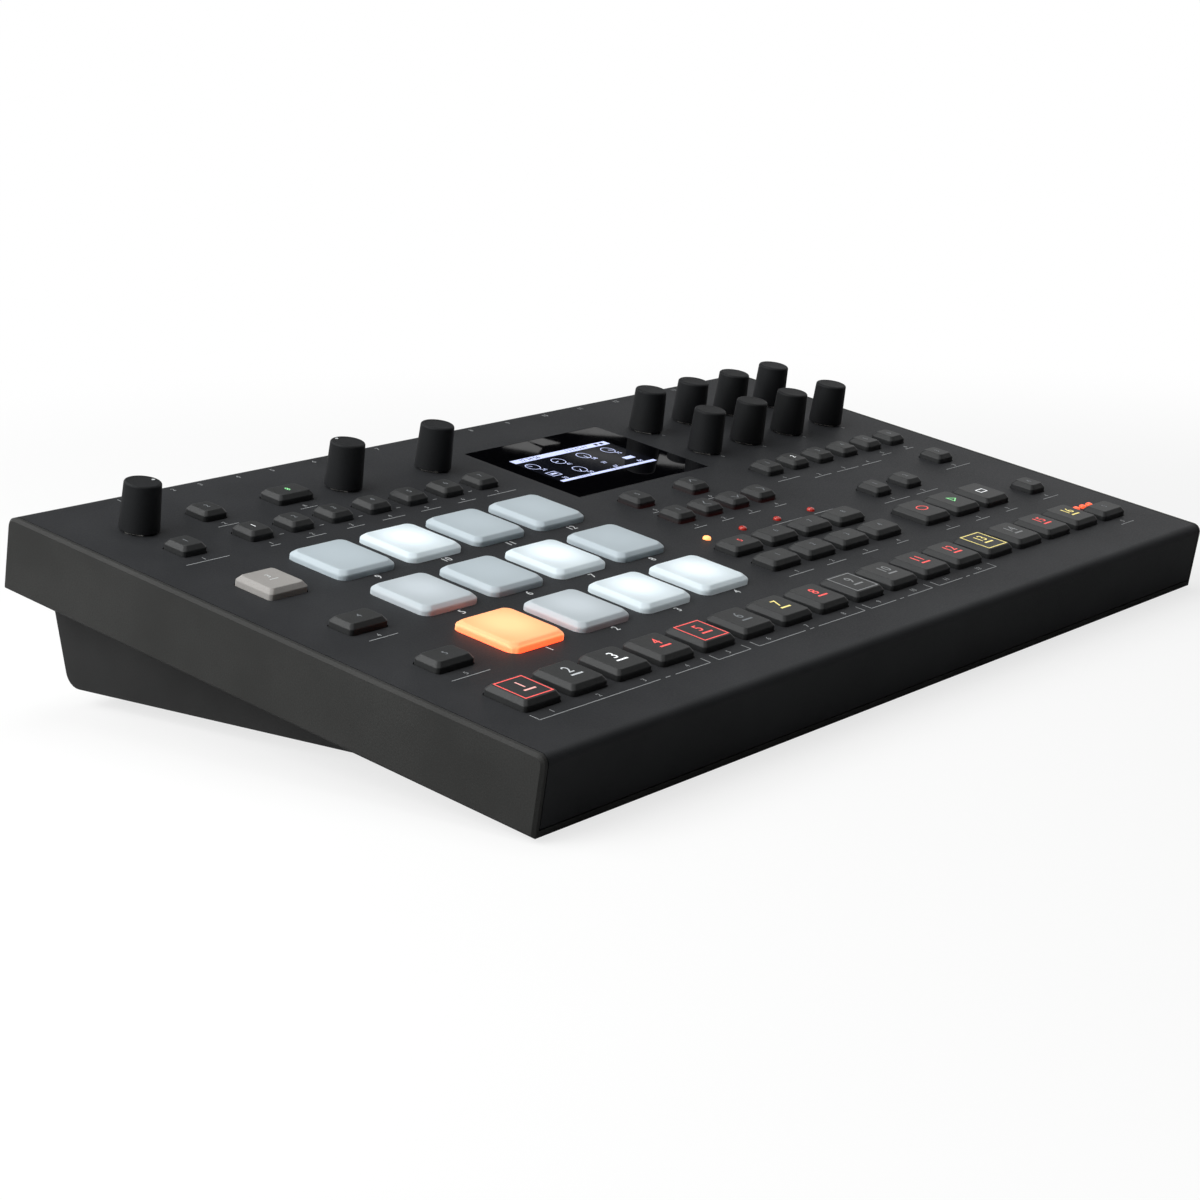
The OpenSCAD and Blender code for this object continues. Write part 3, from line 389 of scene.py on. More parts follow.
def start(piece, name):
    """Names a fresh primitive, applies its place and size, and opens it for editing."""
    piece.name = piece.data.name = name
    bpy.ops.object.transform_apply(location=True, rotation=True, scale=True)
    bpy.ops.object.mode_set(mode="EDIT")
    bpy.ops.mesh.select_mode(type="FACE")
    return piece


def pick_faces(piece, test):
    """Selects the faces whose middle and normal pass the test."""
    mesh = bmesh.from_edit_mesh(piece.data)
    bpy.ops.mesh.select_all(action="DESELECT")
    for face in mesh.faces:
        face.select_set(bool(test(face.calc_center_median(), face.normal)))
    mesh.select_flush_mode()
    bmesh.update_edit_mesh(piece.data)


def pick_edges(piece, test):
    """Selects the edges whose two ends pass the test."""
    mesh = bmesh.from_edit_mesh(piece.data)
    bpy.ops.mesh.select_all(action="DESELECT")
    bpy.ops.mesh.select_mode(type="EDGE")
    for edge in mesh.edges:
        edge.select_set(bool(test(edge.verts[0].co, edge.verts[1].co)))
    bmesh.update_edit_mesh(piece.data)


def upright(a, b):
    """Tells whether an edge between two points stands upright."""
    return abs(a.x - b.x) < 0.001 and abs(a.y - b.y) < 0.001


def cube(name, size, middle):
    """A block of a size in millimetres about a middle, open for editing."""
    bpy.ops.object.select_all(action="DESELECT")
    bpy.ops.mesh.primitive_cube_add(size=1, location=middle, scale=size)
    return start(bpy.context.object, name)


def round_corners(piece, radius, segments=6):
    """Bevels the four upright edges."""
    pick_edges(piece, upright)
    bpy.ops.mesh.bevel(offset=radius, segments=segments, affect="EDGES")
    bpy.ops.mesh.select_mode(type="FACE")


def top_of(piece):
    """Selects the highest face that points up."""
    mesh = bmesh.from_edit_mesh(piece.data)
    high = max(face.calc_center_median().z for face in mesh.faces if face.normal.z > 0.9)
    pick_faces(piece, lambda middle, normal: normal.z > 0.9 and middle.z > high - 0.001)


def raise_top(height, shrink=(1, 1)):
    """Extrudes the selected top by a height and narrows it about its middle."""
    bpy.ops.mesh.extrude_region_move(TRANSFORM_OT_translate={"value": (0, 0, height)})
    bpy.ops.transform.resize(value=(shrink[0], shrink[1], 1), center_override=(0, 0, 0))


def thicken(step):
    """Extrudes a flat shape by a step and points all its faces outwards."""
    bpy.ops.mesh.select_all(action="SELECT")
    bpy.ops.mesh.extrude_region_move(TRANSFORM_OT_translate={"value": step})
    bpy.ops.mesh.select_all(action="SELECT")
    bpy.ops.mesh.normals_make_consistent(inside=False)


def modifier(piece, kind, **settings):
    """Adds a modifier, sets it and applies it."""
    added = piece.modifiers.new(kind.lower(), kind)
    for name, value in settings.items():
        setattr(added, name, value)
    bpy.ops.object.modifier_apply(modifier=added.name)


def soften(piece, width, segments=2, angle=30):
    """Leaves edit mode, rounds the sharp edges and smooths the shading."""
    bpy.ops.object.mode_set(mode="OBJECT")
    modifier(piece, "BEVEL", width=width, segments=segments, limit_method="ANGLE",
             angle_limit=math.radians(angle))
    bpy.ops.object.shade_smooth_by_angle(angle=SMOOTH_ANGLE)
    modifier(piece, "WEIGHTED_NORMAL", weight=90, keep_sharp=True)
    return piece


def join(pieces, name):
    """Joins pieces into the first one."""
    bpy.ops.object.select_all(action="DESELECT")
    for piece in pieces:
        piece.select_set(True)
    bpy.context.view_layer.objects.active = pieces[0]
    if len(pieces) > 1:
        bpy.ops.object.join()
    pieces[0].name = pieces[0].data.name = name
    return pieces[0]


def copy_at(piece, u, v):
    """A copy with its own mesh, moved to a place on the panel."""
    made = piece.copy()
    made.data = piece.data.copy()
    bpy.context.scene.collection.objects.link(made)
    made.data.transform(Matrix.Translation((u, v, 0)))
    return made


def settle(piece, body, name, replaces=None, finish_with=None, place=slab):
    """Puts a piece into the machine, tilted if its place is the slab, and gives it its name,
    finish and body."""
    piece.name = piece.data.name = name
    piece.data.transform(place)
    if finish_with:
        piece.data.materials.clear()
        piece.data.materials.append(finish_with)
    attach(piece, body)
    if replaces:
        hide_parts(replaces)
    return piece


def discard(*pieces):
    """Removes the models that only served for copies."""
    for piece in pieces:
        bpy.data.objects.remove(piece)


# %% [markdown]
# ## Keys
# A key is one moulding: a flange that stays under the panel, an upright side, a sloping edge and
# a flat top. It could be a bevelled block, but the slope and the upright side are different
# faces that catch light differently, so the top is extruded twice and narrowed the second time.
# There are three sizes, and each is modelled once.

# %% Key sizes
PANEL_T, KEY_SIDE, KEY_TOP, KEY_BEVEL, KEY_R = 1.6, 1.7, 3.2, 1.3, 1.5
KEY_GAP, FLANGE_W, FLANGE_T, FLANGE_GAP = 0.35, 0.9, 0.8, 0.3
FLANGE_N = -PANEL_T - FLANGE_GAP
STEM_N, KEY_STEM_D = -7.4, 3.4
KEY_SOFT = 0.22
SIZES = {"large": (16, 16), "wide": (16, 10), "small": (10, 10)}


# %% One key of each size
def stem(diameter, top):
    """The round stem under a key or pad, down to its switch."""
    bpy.ops.object.select_all(action="DESELECT")
    bpy.ops.mesh.primitive_cylinder_add(vertices=24, radius=diameter / 2, depth=top - STEM_N,
                                        location=(0, 0, (top + STEM_N) / 2))
    made = start(bpy.context.object, "stem")
    pick_faces(made, lambda middle, normal: normal.z < -0.9)
    bpy.ops.mesh.bevel(offset=0.3, segments=1)
    bpy.ops.object.mode_set(mode="OBJECT")
    bpy.ops.object.shade_smooth_by_angle(angle=SMOOTH_ANGLE)
    return made


def key_cap(name, width, depth):
    """A key's cap on its flange and stem, about the middle of its top."""
    rim = FLANGE_W + KEY_GAP
    cap = cube(name, (width + 2 * rim, depth + 2 * rim, FLANGE_T),
               (0, 0, FLANGE_N - FLANGE_T / 2))
    round_corners(cap, KEY_R + rim)
    top_of(cap)
    bpy.ops.mesh.inset(thickness=rim)
    raise_top(KEY_SIDE - FLANGE_N)
    raise_top(KEY_TOP - KEY_SIDE, (1 - 2 * KEY_BEVEL / width, 1 - 2 * KEY_BEVEL / depth))
    soften(cap, KEY_SOFT, segments=3, angle=20)
    return join([cap, stem(KEY_STEM_D, FLANGE_N - FLANGE_T)], name)


caps = {kind: key_cap(f"{kind}_cap", *size) for kind, size in SIZES.items()}
print("key cap faces:", {kind: len(cap.data.polygons) for kind, cap in caps.items()})

# %% The places of all keys
BANK_U = LEFT_U + 8 * STEP_PITCH
RIGHT_U = LEFT_U + 16 * STEP_PITCH
MODE_U, MODE_PITCH = 55.8, 18.03
KEYS = {
    "mode_keys": [(MODE_U + MODE_PITCH * i, 167.4, "small") for i in range(7)]
                 + [(91.86, 188.6, "wide")],
    "function_keys": [(LEFT_U, 167.4, "small"), (MODE_U, 188.6, "small"), (LEFT_U, 129.9, "large"),
                      (LEFT_U, 94.1, "wide"), (LEFT_U, 60.3, "wide")],
    "cursor_keys": [(200.2 + 15.9 * i, 108.4, "small") for i in range(4)]
                   + [(200.2, 126.3, "small"), (232.0, 126.3, "small")],
    "page_keys": [(278.0 + 16.55 * i, 125.8, "small") for i in range(6)],
    "bank_keys": [(BANK_U + STEP_PITCH * i, v, "wide") for v in (61.0, 76.5) for i in range(4)],
    "side_keys": [(296.0, 89.8, "small"), (316.7, 89.8, "small"), (RIGHT_U, 101.8, "small"),
                  (RIGHT_U, 60.7, "small"), (RIGHT_U, 28.0, "wide")],
    "transport_keys": [(287.1 + STEP_PITCH * i, 63.7, "large") for i in range(3)],
}
STEPS = [(LEFT_U + STEP_PITCH * i, STEP_V) for i in range(16)]
print("grouped keys:", sum(len(places) for places in KEYS.values()), "step keys:", len(STEPS))

# %% A key with a painted red glow at its foot
# The cursor keys' plastic emits red at the panel and fades out 1.6 mm up: a painted glow of red
# light from a lamp under the key.
LEAK, LEAK_HEIGHT = 0.008, 0.0016
key_plastic_painted_red_glow = grained("charcoal_abs_key_painted_red_glow", *KEY_GRAIN)
tree = key_plastic_painted_red_glow.node_tree
place = node(tree, "ShaderNodeTexCoord").outputs["Object"]
above = node(tree, "ShaderNodeVectorMath", {0: place, 1: slab_corner}, operation="SUBTRACT")
height = node(tree, "ShaderNodeVectorMath", {0: above.outputs[0], 1: tilted @ Vector((0, 0, 1))},
              operation="DOT_PRODUCT")
leak = node(tree, "ShaderNodeMapRange",
            {"Value": height.outputs["Value"], "From Min": 0.0, "From Max": LEAK_HEIGHT,
             "To Min": LEAK, "To Max": 0.0})
shader = tree.nodes["Principled BSDF"]
tree.links.new(leak.outputs[0], shader.inputs["Emission Strength"])
shader.inputs["Emission Color"].default_value = linear("#ff2a14")
print("key plastic over the lamp:", key_plastic_painted_red_glow.name)

# %% Place the keys
for node_name, places in KEYS.items():
    copies = [copy_at(caps[kind], u, v) for u, v, kind in places]
    dark = key_plastic_painted_red_glow if node_name == "cursor_keys" else key_plastic
    for cap, (u, v, kind) in zip(copies, places):
        pale = node_name == "function_keys" and kind == "large"
        cap.data.materials.clear()
        cap.data.materials.append(pale_plastic if pale else dark)
    settle(join(copies, "caps"), node_name, f"{node_name}_moulded", node_name)
for i, (u, v) in enumerate(STEPS, 1):
    settle(copy_at(caps["large"], u, v), f"step_key_{i}", f"step_key_{i}_moulded",
           f"step_key_{i}", key_plastic)
discard(*caps.values())
print("key pieces:", len(KEYS) + len(STEPS))

# %% [markdown]
# ## Pads
# A pad is a cushion of milky silicone over a white lamp. It could be a block with a glow painted
# on, but silicone is a translucent solid: light enters it, spreads and leaves again, which makes
# soft edges. Subsurface scattering gives that, and a lamp under the middle is an emission that
# fades towards the rim. Each pad has its own flat map, so the fade follows it in any pose.

# %% Silicone
# Shares of the pad's width on its flat map: the lamp's place, its glow and the pad's wall.
LAMP_PLACE, GLOW_CORE, GLOW_REACH = (0.5, 0.55, 0), 0.08, 0.62
MAP_MIDDLE, WALL_FROM, WALL_TO = (0.5, 0.5, 0), 0.47, 0.498


def silicone(name, colour, rim, middle, foot, glow_rim, glow_middle, glow_foot):
    """Silicone over a lamp: colours and glow run from the foot over the rim to the middle."""
    made, tree, shader, place = finish(name, colour, 0.48, 0.35)
    flat = node(tree, "ShaderNodeUVMap", uv_map="flat")
    away = node(tree, "ShaderNodeVectorMath", {0: flat.outputs[0], 1: LAMP_PLACE},
                operation="DISTANCE")
    fade = node(tree, "ShaderNodeMapRange",
                {"Value": away.outputs["Value"], "From Min": GLOW_CORE, "From Max": GLOW_REACH,
                 "To Min": 1.0, "To Max": 0.0}, interpolation_type="SMOOTHSTEP")
    light = node(tree, "ShaderNodeMix",
                 {"Factor": fade.outputs[0], 6: linear(rim), 7: linear(middle)},
                 data_type="RGBA")
    power = node(tree, "ShaderNodeMapRange",
                 {"Value": fade.outputs[0], "To Min": glow_rim, "To Max": glow_middle})
    grit = node(tree, "ShaderNodeTexNoise", {"Vector": place, "Scale": 2800.0, "Detail": 2.0})
    bump = node(tree, "ShaderNodeBump",
                {"Height": grit.outputs[0], "Distance": 0.00003, "Strength": 0.4})
    tree.links.new(bump.outputs[0], shader.inputs["Normal"])
    centred = node(tree, "ShaderNodeVectorMath", {0: flat.outputs[0], 1: MAP_MIDDLE},
                   operation="SUBTRACT")
    folded = node(tree, "ShaderNodeVectorMath", {0: centred.outputs[0]}, operation="ABSOLUTE")
    sides = node(tree, "ShaderNodeSeparateXYZ", {0: folded.outputs[0]})
    reach = node(tree, "ShaderNodeMath", {0: sides.outputs[0], 1: sides.outputs[1]},
                 operation="MAXIMUM")
    wall = node(tree, "ShaderNodeMapRange",
                {"Value": reach.outputs[0], "From Min": WALL_FROM, "From Max": WALL_TO})
    leak = node(tree, "ShaderNodeMix",
                {"Factor": wall.outputs[0], 6: light.outputs[2], 7: linear(foot)},
                data_type="RGBA")
    strength = node(tree, "ShaderNodeMix",
                    {"Factor": wall.outputs[0], 2: power.outputs[0], 3: glow_foot})
    tree.links.new(leak.outputs[2], shader.inputs["Emission Color"])
    tree.links.new(strength.outputs[0], shader.inputs["Emission Strength"])
    shader.inputs["Subsurface Weight"].default_value = 0.25
    shader.inputs["Subsurface Radius"].default_value = (0.004, 0.004, 0.004)
    shader.inputs["Subsurface Scale"].default_value = 0.5
    return made


# The faint pads' middle and foot are tinted pink: painted red light from the struck pad beside
# them.
PAD_LOOKS = {
    "resting": ("#b0bbc1", "#98a2a8", "#b4bfc5", "#98a2a8", 0.03, 0.12, 0.03),
    "faint_painted_pink": ("#b0babf", "#a9a4a8", "#d9dce2", "#b89c9e", 0.10, 0.26, 0.10),
    "lit": ("#c2cdd2", "#cfd9dd", "#f6fcff", "#cfd9dd", 0.20, 0.52, 0.20),
    "struck": ("#d89b6f", "#ff9a62", "#ffc48c", "#ff4a26", 0.75, 0.85, 2.6),
}
PAD_LIGHT = {level: silicone(f"milky_silicone_{level}", *look) for level, look in PAD_LOOKS.items()}
print("silicone:", list(PAD_LIGHT))

# %% One pad
PAD_SIZE, PAD_R, PAD_SIDE, PAD_TOP, PAD_BEVEL, PAD_GAP = 24.6, 3.0, 1.5, 2.8, 1.5, 0.3
PAD_SOFT, PAD_STEM_D = 0.45, 9.0
rim = FLANGE_W + PAD_GAP
pad = cube("pad", (PAD_SIZE + 2 * rim, PAD_SIZE + 2 * rim, FLANGE_T),
           (0, 0, FLANGE_N - FLANGE_T / 2))
round_corners(pad, PAD_R + rim, segments=8)
top_of(pad)
bpy.ops.mesh.inset(thickness=rim)
raise_top(PAD_SIDE - FLANGE_N)
shrink = 1 - 2 * PAD_BEVEL / PAD_SIZE
raise_top(PAD_TOP - PAD_SIDE, (shrink, shrink))
soften(pad, PAD_SOFT, segments=4, angle=25)
pad = join([pad, stem(PAD_STEM_D, FLANGE_N - FLANGE_T)], "pad")
pad.data.uv_layers.new(name="flat")
for other in [layer for layer in pad.data.uv_layers if layer.name != "flat"]:
    pad.data.uv_layers.remove(other)
for loop in pad.data.loops:
    corner = pad.data.vertices[loop.vertex_index].co
    flat_place = (corner.x / PAD_SIZE + 0.5, corner.y / PAD_SIZE + 0.5)
    pad.data.uv_layers["flat"].data[loop.index].uv = flat_place
print("pad faces:", len(pad.data.polygons))

# %% Place the pads
PADS = [(LEFT_U + 35.2 + 31.2 * c, 66.0 + 34.4 * r) for r in range(3) for c in range(4)]
LEVELS = {1: "struck", 2: "faint_painted_pink", 5: "faint_painted_pink", 3: "lit", 4: "lit", 7: "lit", 10: "lit"}
for i, (u, v) in enumerate(PADS, 1):
    settle(copy_at(pad, u, v), f"pad_{i}", f"pad_{i}_cushion", f"pad_{i}",
           PAD_LIGHT[LEVELS.get(i, "resting")])
discard(pad)
print("pads:", len(PADS))

# %% [markdown]
# ## Knobs
# Each knob is a slim tapered cap with a rounded top edge and a shallow dish in its top, pushed
# on a steel shaft. A lathe profile would do, but a cylinder whose top is narrowed, bevelled and
# inset gives the same form in four steps, and its underside is hollowed for the nut.

# %% One knob
KNOB_R, KNOB_TOP_R, KNOB_TOP, KNOB_LIFT, KNOB_EDGE = 6.5, 5.9, 16.1, 0.6, 0.8
DISH_RIM, DISH_DEPTH, DISH_SHRINK = 0.5, 0.08, 0.93
SKIRT_T, NUT_ROOM, BORE_INSET, BORE_DEPTH = 0.4, 2.7, 3.05, 9.8
bpy.ops.object.select_all(action="DESELECT")
bpy.ops.mesh.primitive_cylinder_add(vertices=72, radius=KNOB_R, depth=KNOB_TOP - KNOB_LIFT,
                                    location=(0, 0, (KNOB_TOP + KNOB_LIFT) / 2))
knob = start(bpy.context.object, "knob")
top_of(knob)
narrow = KNOB_TOP_R / KNOB_R
bpy.ops.transform.resize(value=(narrow, narrow, 1), center_override=(0, 0, 0))
bpy.ops.mesh.bevel(offset=KNOB_EDGE, segments=5)
top_of(knob)
bpy.ops.mesh.inset(thickness=DISH_RIM)
raise_top(-DISH_DEPTH, (DISH_SHRINK, DISH_SHRINK))
pick_faces(knob, lambda middle, normal: normal.z < -0.9)
for inset, depth in ((SKIRT_T, NUT_ROOM), (BORE_INSET, BORE_DEPTH)):
    bpy.ops.mesh.inset(thickness=inset)
    bpy.ops.mesh.extrude_region_move(TRANSFORM_OT_translate={"value": (0, 0, depth)})
soften(knob, 0.15, segments=2, angle=50)
print("knob faces:", len(knob.data.polygons))

# %% The steel shaft in it
SHAFT_R, SHAFT_TOP, SHAFT_FOOT = 3, 13.05, -7.6
bpy.ops.object.select_all(action="DESELECT")
bpy.ops.mesh.primitive_cylinder_add(vertices=32, radius=SHAFT_R, depth=SHAFT_TOP - SHAFT_FOOT,
                                    location=(0, 0, (SHAFT_TOP + SHAFT_FOOT) / 2))
shaft = start(bpy.context.object, "shaft")
top_of(shaft)
bpy.ops.mesh.bevel(offset=0.3, segments=2)
bpy.ops.object.mode_set(mode="OBJECT")
bpy.ops.object.shade_smooth_by_angle(angle=SMOOTH_ANGLE)
print("shaft faces:", len(shaft.data.polygons))

# %% Place the knobs
KNOBS = {"main_volume_knob": (LEFT_U, KNOB_ROW_V), "level_knob": (118.0, KNOB_ROW_V),
         "data_knob": (162.8, KNOB_ROW_V)}
ENCODERS = [(276.8 + 27 * c, 182.0 - 28.2 * r) for r in range(2) for c in range(4)]
KNOBS.update({f"encoder_knob_{i}": place for i, place in enumerate(ENCODERS, 1)})
for name, (u, v) in KNOBS.items():
    settle(copy_at(knob, u, v), name, f"{name}_cap", name, knob_coat)
    settle(copy_at(shaft, u, v), name, f"{name}_shaft", finish_with=nickel)
discard(knob, shaft)
print("knobs:", len(KNOBS))


# %% [markdown]
# ## Printed and lit marks
# Marks are either screen-printed ink on the coat or clear windows in a black key that a lamp
# shines through. Both are flat shapes with a sharp edge, so they are real thin meshes and not a
# pattern in a material: they stay crisp from close by.

# %% Inks and lit windows
def mark_finish(name, colour, glow, roughness=0.6, specular=0.2):
    """Ink or a lit window: a plain colour with a little mottle, and a glow if it is lit."""
    made, tree, shader, place = finish(name, colour, roughness, specular)
    cloud = node(tree, "ShaderNodeTexNoise", {"Vector": place, "Scale": 900.0, "Detail": 1.0})
    dark = [0.86 * part for part in linear(colour)[:3]] + [1.0]
    tone = node(tree, "ShaderNodeMix", {"Factor": cloud.outputs[0], 6: dark, 7: linear(colour)},
                data_type="RGBA")
    tree.links.new(tone.outputs[2], shader.inputs["Base Color"])
    tree.links.new(tone.outputs[2], shader.inputs["Emission Color"])
    shader.inputs["Emission Strength"].default_value = glow
    return made


INK = {
    "white": mark_finish("white_screen_ink", "#d4d7d8", 0.0),
    "grey": mark_finish("grey_screen_ink", "#9a9c9d", 0.0),
    "dim": mark_finish("window_unlit", "#7d8184", 0.05),
    "pale": mark_finish("window_white", "#f1f4f5", 0.55),
    "soft": mark_finish("window_half_lit", "#c6cacd", 0.25),
    "rose": mark_finish("window_rose", "#f0b0aa", 0.5),
    "warm": mark_finish("window_yellow", "#f6e48e", 0.5),
    "red": mark_finish("window_red", "#f2605c", 0.6),
    "green": mark_finish("window_green", "#8fe39a", 0.55),
}
MARK_T, MARK_SINK = 0.03, 0.01
print("inks:", list(INK))


# %% Shapes for marks
def slab_mark(width, depth, u, v, n):
    """A straight stroke as a thin raised plate."""
    bpy.ops.object.select_all(action="DESELECT")
    bpy.ops.mesh.primitive_plane_add(size=1, location=(u, v, n - MARK_SINK))
    mark = bpy.context.object
    mark.scale = (width, depth, 1)
    start(mark, "mark")
    thicken((0, 0, MARK_T + MARK_SINK))
    bpy.ops.object.mode_set(mode="OBJECT")
    return mark


def outline_mark(corners, radius, width, u, v, n, turn=0.0, stretch=(1, 1)):
    """A closed outline with a number of corners: a frame, a triangle or a ring."""
    bpy.ops.object.select_all(action="DESELECT")
    bpy.ops.mesh.primitive_circle_add(vertices=corners, radius=radius, fill_type="NGON",
                                      location=(u, v, n - MARK_SINK), rotation=(0, 0, turn))
    mark = start(bpy.context.object, "mark")
    bpy.ops.mesh.select_all(action="SELECT")
    bpy.ops.transform.resize(value=(stretch[0], stretch[1], 1), center_override=(u, v, n))
    bpy.ops.mesh.inset(thickness=width)
    bpy.ops.mesh.delete(type="FACE")
    thicken((0, 0, MARK_T + MARK_SINK))
    bpy.ops.object.mode_set(mode="OBJECT")
    return mark


FIGURE_HEIGHT = 0.73


def number_mark(number, height, u, v, n, weight=0.0):
    """A plain number, centred. A figure is 0.73 of its letter size high."""
    bpy.ops.object.select_all(action="DESELECT")
    bpy.ops.object.text_add(location=(u, v, n + 0.01))
    text = bpy.context.object
    text.data.body = str(number)
    text.data.size = height / FIGURE_HEIGHT
    text.data.align_x, text.data.align_y = "CENTER", "CENTER"
    text.data.offset = weight
    text.data.extrude = MARK_T * 0.66
    text.data.resolution_u = 3
    bpy.ops.object.convert(target="MESH")
    bpy.ops.object.transform_apply(location=True, rotation=True, scale=True)
    return bpy.context.object


# %% [markdown]
# ### Step keys
# Every step key carries its number over a short bar, and every fourth one a frame. The colours
# are those of a running pattern: red for set steps, yellow for locked ones, the rest unlit.

# %% Step key marks
STEP_COLOURS = ["rose", "soft", "pale", "red", "red", "dim", "warm", "red",
                "grey", "grey", "red", "red", "warm", "grey", "red", "warm"]
FRAME_COLOURS = {1: "red", 5: "red", 9: "grey", 13: "warm"}
STROKE, FRAME_HALF = 0.42, 6.1
for i, (u, v) in enumerate(STEPS, 1):
    parts = [number_mark(i, 4.1, u + 0.4, v + 1.4, KEY_TOP),
             slab_mark(5.0, 0.75, u + 0.6, v - 1.9, KEY_TOP)]
    settle(join(parts, "marks"), f"step_key_{i}", f"step_key_{i}_number",
           finish_with=INK[STEP_COLOURS[i - 1]])
    if i in FRAME_COLOURS:
        frame_mark = outline_mark(4, FRAME_HALF * math.sqrt(2), STROKE, u, v, KEY_TOP,
                                  math.radians(45))
        settle(frame_mark, f"step_key_{i}", f"step_key_{i}_frame",
               finish_with=INK[FRAME_COLOURS[i]])
print("step keys with a frame:", list(FRAME_COLOURS))

# %% [markdown]
# ### Other keys
# The small keys carry plain numbers. The three large ones have the usual ring, triangle and
# square of a recorder, and four keys have arrows, each made of two strokes.

# %% Marks of the grouped keys
def arrow_mark(u, v, turn):
    """A chevron: a square outline whose lower half is cut away."""
    mark = outline_mark(4, 2.1, 0.38, u, v, KEY_TOP)
    bpy.ops.object.mode_set(mode="EDIT")
    bpy.ops.mesh.select_all(action="SELECT")
    bpy.ops.mesh.bisect(plane_co=(u, v, 0), plane_no=(0, 1, 0), clear_inner=True, use_fill=True)
    bpy.ops.mesh.select_all(action="SELECT")
    bpy.ops.transform.rotate(value=-turn, orient_axis="Z", center_override=(u, v, 0))
    bpy.ops.object.mode_set(mode="OBJECT")
    return mark


# Corners, radius, turn in degrees and stretch of the ring, the triangle and the square.
TRANSPORT_MARKS = [(40, 2.6, 0, (1.15, 0.75)), (3, 2.7, -90, (1, 0.9)), (4, 2.9, 45, (1.15, 0.7))]
ARROWS = {1: 90, 2: 180, 3: -90, 5: 0}
NUMBER_INK = {("mode_keys", 0): "pale", ("mode_keys", 7): "green", ("page_keys", 1): "pale",
              ("bank_keys", 4): "red"}
for node_name, places in KEYS.items():
    marks = {}
    for i, (u, v, kind) in enumerate(places):
        ink = NUMBER_INK.get((node_name, i), "dim")
        if node_name == "cursor_keys" and i in ARROWS:
            shapes = [arrow_mark(u, v - 0.7, math.radians(ARROWS[i]))]
        elif node_name == "transport_keys":
            ink = ("red", "green", "pale")[i]
            corners, radius, turn, stretch = TRANSPORT_MARKS[i]
            shapes = [outline_mark(corners, radius, STROKE, u, v, KEY_TOP, math.radians(turn),
                                   stretch)]
        else:
            pale = kind == "large"
            shapes = [number_mark(i + 1, 2.3, u, v + (1.7 if pale else 0), KEY_TOP)]
            if pale:
                shapes.append(slab_mark(3.4, 0.35, u, v - 0.8, KEY_TOP))
                ink = "white"
        marks.setdefault(ink, []).extend(shapes)
    for ink, shapes in marks.items():
        settle(join(shapes, "marks"), node_name, f"{node_name}_marks_{ink}", finish_with=INK[ink])
    print(node_name, "marked in", list(marks))

# %% [markdown]
# ### Print on the panel
# A thin line closes each group of step keys, with short ticks at its ends. Every small key has
# a number over a rule in front of it, and every pad and socket has its number.

# %% Panel print
RULE_W, BRACKET_V, TICK = 0.32, 17.7, 3.7
BRACKETS = [(19.2, 97.7, 77.0), (102.0, 118.3, None), (122.8, 181.0, 151.0), (184.8, 221.9, 203.0),
            (226.2, 263.2, 244.5)]
print_marks = []
for u0, u1, dash in BRACKETS:
    for u in (u0, u1):
        print_marks.append(slab_mark(RULE_W, TICK, u, BRACKET_V + TICK / 2, 0))
    strokes = [(u0, u1)]
    if dash is not None:
        strokes = [(u0, dash - 3.6), (dash - 1.1, dash + 1.1), (dash + 3.6, u1)]
    for a, b in strokes:
        print_marks.append(slab_mark(b - a, RULE_W, (a + b) / 2, BRACKET_V, 0))
for i, (u, v) in enumerate(STEPS[:12], 1):
    print_marks.append(number_mark(i, 2.0, u, 20.0, 0))
pad_numbers = [number_mark(i, 3.0, u + 1.1, v - 14.8, 0, 0.02)
               for i, (u, v) in enumerate(PADS, 1)]
settle(join(pad_numbers, "marks"), "case", "pad_numbers", finish_with=INK["white"])
for i, (u, v) in enumerate(ENCODERS, 1):
    print_marks.append(number_mark(i, 1.6, u + 0.8, v - 8.3, 0))
SOCKET_MARKS = [40.8, 63.8, 75.8, 92.8, 108.8, 128.8, 160.8, 210.8, 231.8, 253.4, 274.8, 296.8,
                334.8]
for i, u in enumerate(SOCKET_MARKS, 1):
    print_marks.append(number_mark(i, 2.1, u, 212.6, 0))
print("bracket and number marks:", len(print_marks))

# %% Rules with numbers
RULE_GAP, TRANSPORT_GAP, PAGE_DROP = 5.4, 5.9, 4
RULES = {
    "mode_keys": [4.2, 8.8, 8.1, 10.7, 9.7, 9.0, 14.9, 7.7],
    "function_keys": [17.7, 8.8, 0, 12.1, 16.4],
    "cursor_keys": [7, 7, 7, 7, 7, 7],
    "page_keys": [14.1, 10.7, 14.2, 13.3, 6.9, 5.6],
    "bank_keys": [14.2, 11.4, 9.6, 7.5, 0, 0, 0, 0],
    "side_keys": [16.9, 14.5, 17.4, 11.2, 9.5],
    "transport_keys": [8.8, 9.4, 8.3],
}
for node_name, lengths in RULES.items():
    for i, ((u, v, kind), length) in enumerate(zip(KEYS[node_name], lengths)):
        if not length:
            continue
        gap = TRANSPORT_GAP if node_name == "transport_keys" else RULE_GAP
        rule_v = v - SIZES[kind][1] / 2 - gap
        if node_name == "page_keys" and i in (1, 2, 3):
            rule_v -= PAGE_DROP
        print_marks.append(slab_mark(length, RULE_W, u, rule_v, 0))
        print_marks.append(number_mark(i + 1, 1.9, u, rule_v + 1.9, 0))
for i in range(6):
    print_marks.append(slab_mark(1.9, RULE_W, MODE_U + MODE_PITCH * (i + 0.5), 163.6, 0))
for u, length in ((234.4, 17.7), (257.0, 11.9)):
    print_marks.append(slab_mark(length, RULE_W, u, 85.6, 0))
print("panel marks:", len(print_marks))
settle(join(print_marks, "marks"), "case", "panel_print", finish_with=INK["grey"])

